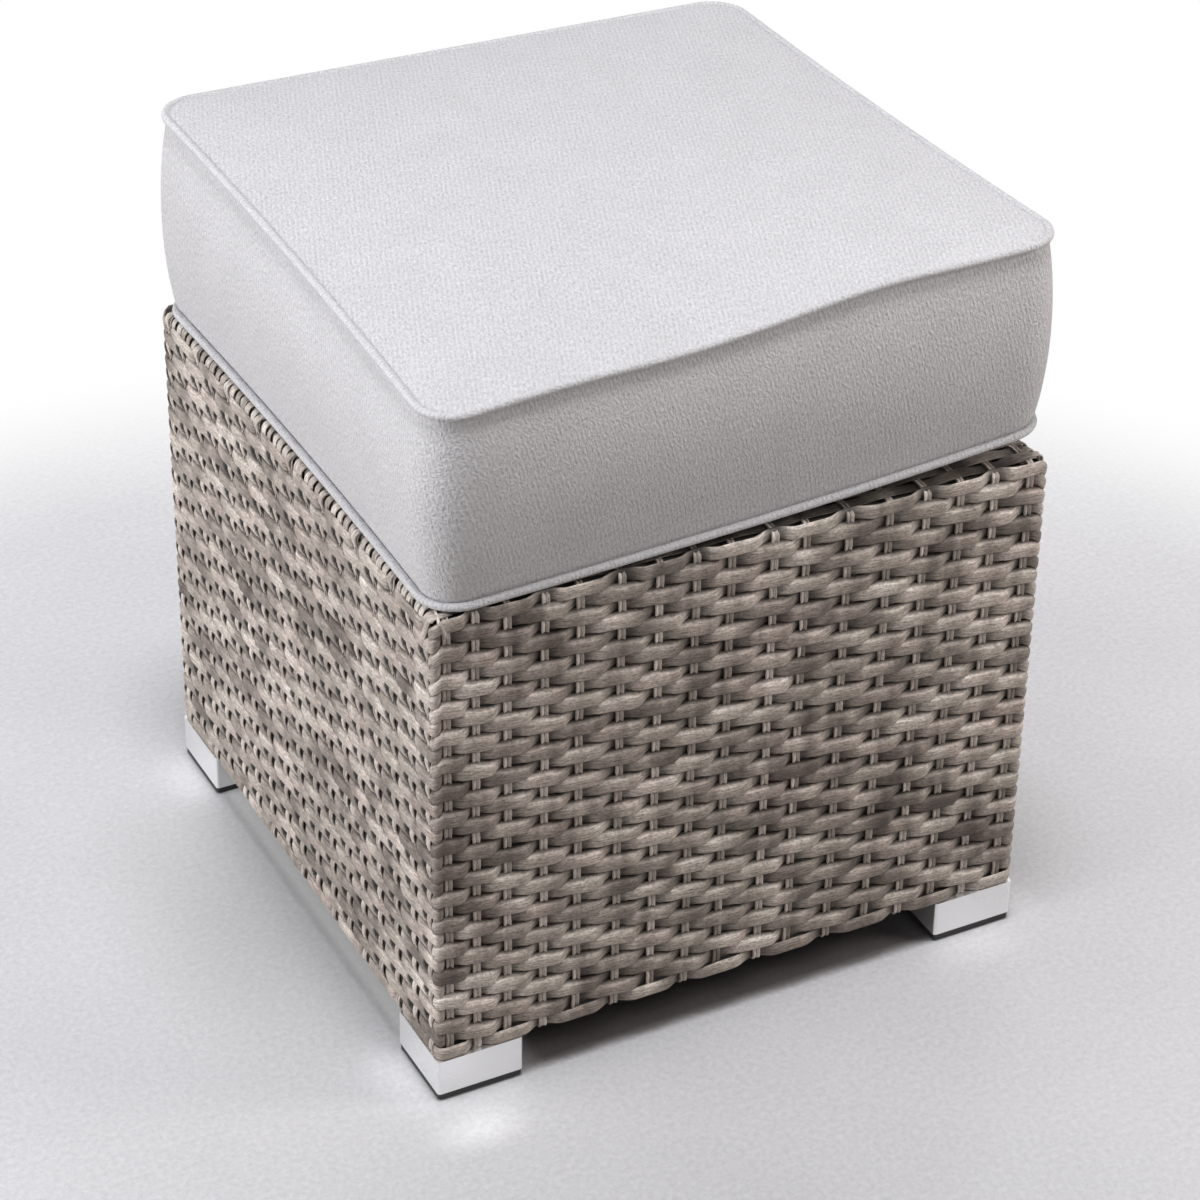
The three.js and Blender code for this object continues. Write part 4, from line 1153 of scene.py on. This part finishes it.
def paint_wicker(pieces):
    weft_paint = wicker_material("wicker_weft", WEFT_STOPS)
    stake_paint = wicker_material("wicker_stake", STAKE_STOPS)
    for name, piece in pieces.items():
        paint(piece, stake_paint if name.startswith(("stakes", "corner_straps")) else weft_paint)


def paint_nodes(paints):
    for name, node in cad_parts.items():
        for paint_name, starts in NODE_PAINTS.items():
            if name.startswith(starts):
                paint(node, paints[paint_name])
                break


# Studio


def seen_directly(tree):
    """1 for rays from the camera, reflections and glass, 0 for light that falls on surfaces."""
    path = add_node(tree, "ShaderNodeLightPath").outputs
    seen = math_node(tree, "MAXIMUM", path["Is Camera Ray"], path["Is Glossy Ray"])
    return math_node(tree, "MAXIMUM", seen, path["Is Transmission Ray"])


def under_share(tree, place, at_left):
    """Mask of the painted shadow and painted light under the stool: 1 on the floor under it, 0 outside its
    feet, and a chosen share at the left edge.
    """
    x, y, _ = separated(tree, vector_node(tree, "ABSOLUTE", place)[0])
    inside = spread(tree, math_node(tree, "MAXIMUM", x, y), *UNDER_EDGE, 1, 0)
    from_left = spread(tree, separated(tree, place)[0], *UNDER_LEFT, at_left, 1)
    return math_node(tree, "MULTIPLY", inside, from_left)


def painted_glint_share(tree, place):
    """Painted light: brighter floor where the metal feet throw light on it, and one painted shade."""
    total = 1.0
    for x, y, reach_x, reach_y, strength in PAINTED_GLINTS_AND_SHADE:
        offset = vector_node(tree, "SUBTRACT", place, (x, y, 0))[0]
        offset = vector_node(tree, "MULTIPLY", offset, (1 / reach_x, 1 / reach_y, 0))[0]
        reach = vector_node(tree, "LENGTH", offset)["Value"]
        total = math_node(tree, "ADD", total, spread(tree, reach, 1, 0, 0, strength, "SMOOTHSTEP"))
    return total


def floor_colour(tree, place, grain, from_fade, painted_shadow):
    """The floor's colour as the camera sees it, with painted shade, painted light and painted shadow on it.
    """
    mottled = weighed(tree, noise_at(tree, place, FLOOR_CLOUDS), FLOOR_CLOUD_SHARE, grain, FLOOR_GRAIN_SHARE)
    shown = ramp(tree, math_node(tree, "ADD", mottled, FLOOR_SHIFT), FLOOR_STOPS)
    # Painted shade before the stool, painted light towards the fade, and painted glints and shade round the
    # feet
    from_shade = vector_node(tree, "DISTANCE", place, SHADE_PLACE)["Value"]
    factors = (
        spread(tree, from_shade, *SHADE_REACH, SHADE_LEVEL, 1.0),
        spread(tree, from_fade, *FAR_LIGHT),
        painted_glint_share(tree, place),
    )
    for factor in factors:
        shown = mixed(tree, shown, factor, "MULTIPLY")
    # Painted shadow under the stool
    return mixed(tree, shown, PAINTED_SHADOW_COLOUR, "MULTIPLY", painted_shadow)


def floor_material():
    """A pale floor that fades to white all round."""
    made, tree, shader = material("floor", FLOOR_SHADER)
    place, seen = object_place(tree), seen_directly(tree)
    grain = noise_at(tree, place, FLOOR_GRAIN)
    from_fade = vector_node(tree, "DISTANCE", place, FADE_PLACE)["Value"]
    # Painted shadow on the floor under the stool
    painted_shadow = under_share(tree, place, 0)
    shown = floor_colour(tree, place, grain, from_fade, painted_shadow)
    tree.links.new(mixed(tree, FLOOR_BOUNCE, shown, "MIX", seen), shader.inputs["Base Color"])
    tree.links.new(spread(tree, grain, *FLOOR_GLOSS), shader.inputs["Roughness"])
    # Painted light: white glows on the floor where the painted shadow fades out towards the stool's left edge
    painted_glow = math_node(tree, "SUBTRACT", under_share(tree, place, 1), painted_shadow)
    painted_glow = math_node(tree, "MULTIPLY", painted_glow, PAINTED_GLOW_UNDER_LEFT)
    fade = math_node(tree, "MAXIMUM", spread(tree, from_fade, *FADE_REACH, 0, 1, "SMOOTHSTEP"), painted_glow)
    white = add_node(tree, "ShaderNodeEmission", {"Color": (*WHITE, 1), "Strength": 1.0}).outputs[0]
    inputs = {0: math_node(tree, "MULTIPLY", seen, fade), 1: shader.outputs[0], 2: white}
    surface = add_node(tree, "ShaderNodeMixShader", inputs).outputs[0]
    tree.links.new(surface, tree.nodes["Material Output"].inputs["Surface"])
    return made


def build_floor():
    corners = [(-FLOOR_HALF, -FLOOR_HALF, 0), (FLOOR_HALF, -FLOOR_HALF, 0)]
    corners += [(-x, -y, z) for x, y, z in corners]
    ground = make_mesh("floor", corners, [(0, 1, 2, 3)])
    ground.location.z = -FLOOR_DROP
    paint(ground, floor_material())


def light_world():
    """A little white light from all round, before a white background."""
    world = bpy.context.scene.world or bpy.data.worlds.new("world")
    bpy.context.scene.world = world
    world.use_nodes = True
    tree = world.node_tree
    tree.nodes.clear()
    light, shown = (
        add_node(tree, "ShaderNodeBackground", {"Color": (*WHITE, 1), "Strength": strength}).outputs[0]
        for strength in (WORLD_LIGHT, 1.0)
    )
    sky = add_node(tree, "ShaderNodeMixShader", {0: seen_directly(tree), 1: light, 2: shown}).outputs[0]
    add_node(tree, "ShaderNodeOutputWorld", {"Surface": sky})


def aim(place, target):
    return (Vector(target) - Vector(place)).to_track_quat("-Z", "Y")


def add_lamp(name, place, target, size, power, colour):
    data = bpy.data.lights.new(name, "AREA")
    data.shape = "DISK"
    data.size = size
    data.energy = power
    data.color = colour
    lamp = add_object(name, data)
    lamp.location = place
    lamp.rotation_euler = aim(place, target).to_euler()


def add_camera():
    data = bpy.data.cameras.new("camera")
    data.sensor_width = CAMERA_SENSOR
    data.lens = CAMERA_LENS
    data.clip_end = CAMERA_REACH
    camera = add_object("camera", data)
    turn = aim(CAMERA_PLACE, CAMERA_TARGET).to_matrix() @ Matrix.Rotation(CAMERA_ROLL, 3, "Z")
    camera.matrix_world = Matrix.Translation(CAMERA_PLACE) @ turn.to_4x4()
    bpy.context.scene.camera = camera


wicker_pieces = build_wicker()
cover = build_cover()
cords = [
    build_piping("piping_cord_bottom", "piping_bottom", LOW_SEAM),
    build_piping("piping_cord_top", "piping_top", HIGH_SEAM),
]
teeth = build_zip()

paint_wicker(wicker_pieces)
cover_paint = cloth_material()
for piece in (cover, *cords):
    paint(piece, cover_paint)
paints = {name: plain_material(name, *look) for name, look in PAINTS.items()}
paint(teeth, paints["zip_teeth"])
paint_nodes(paints)

add_camera()
build_floor()
light_world()
for name, lamp in LAMPS.items():
    add_lamp(name, *lamp)

bpy.context.scene.view_settings.view_transform = "Standard"
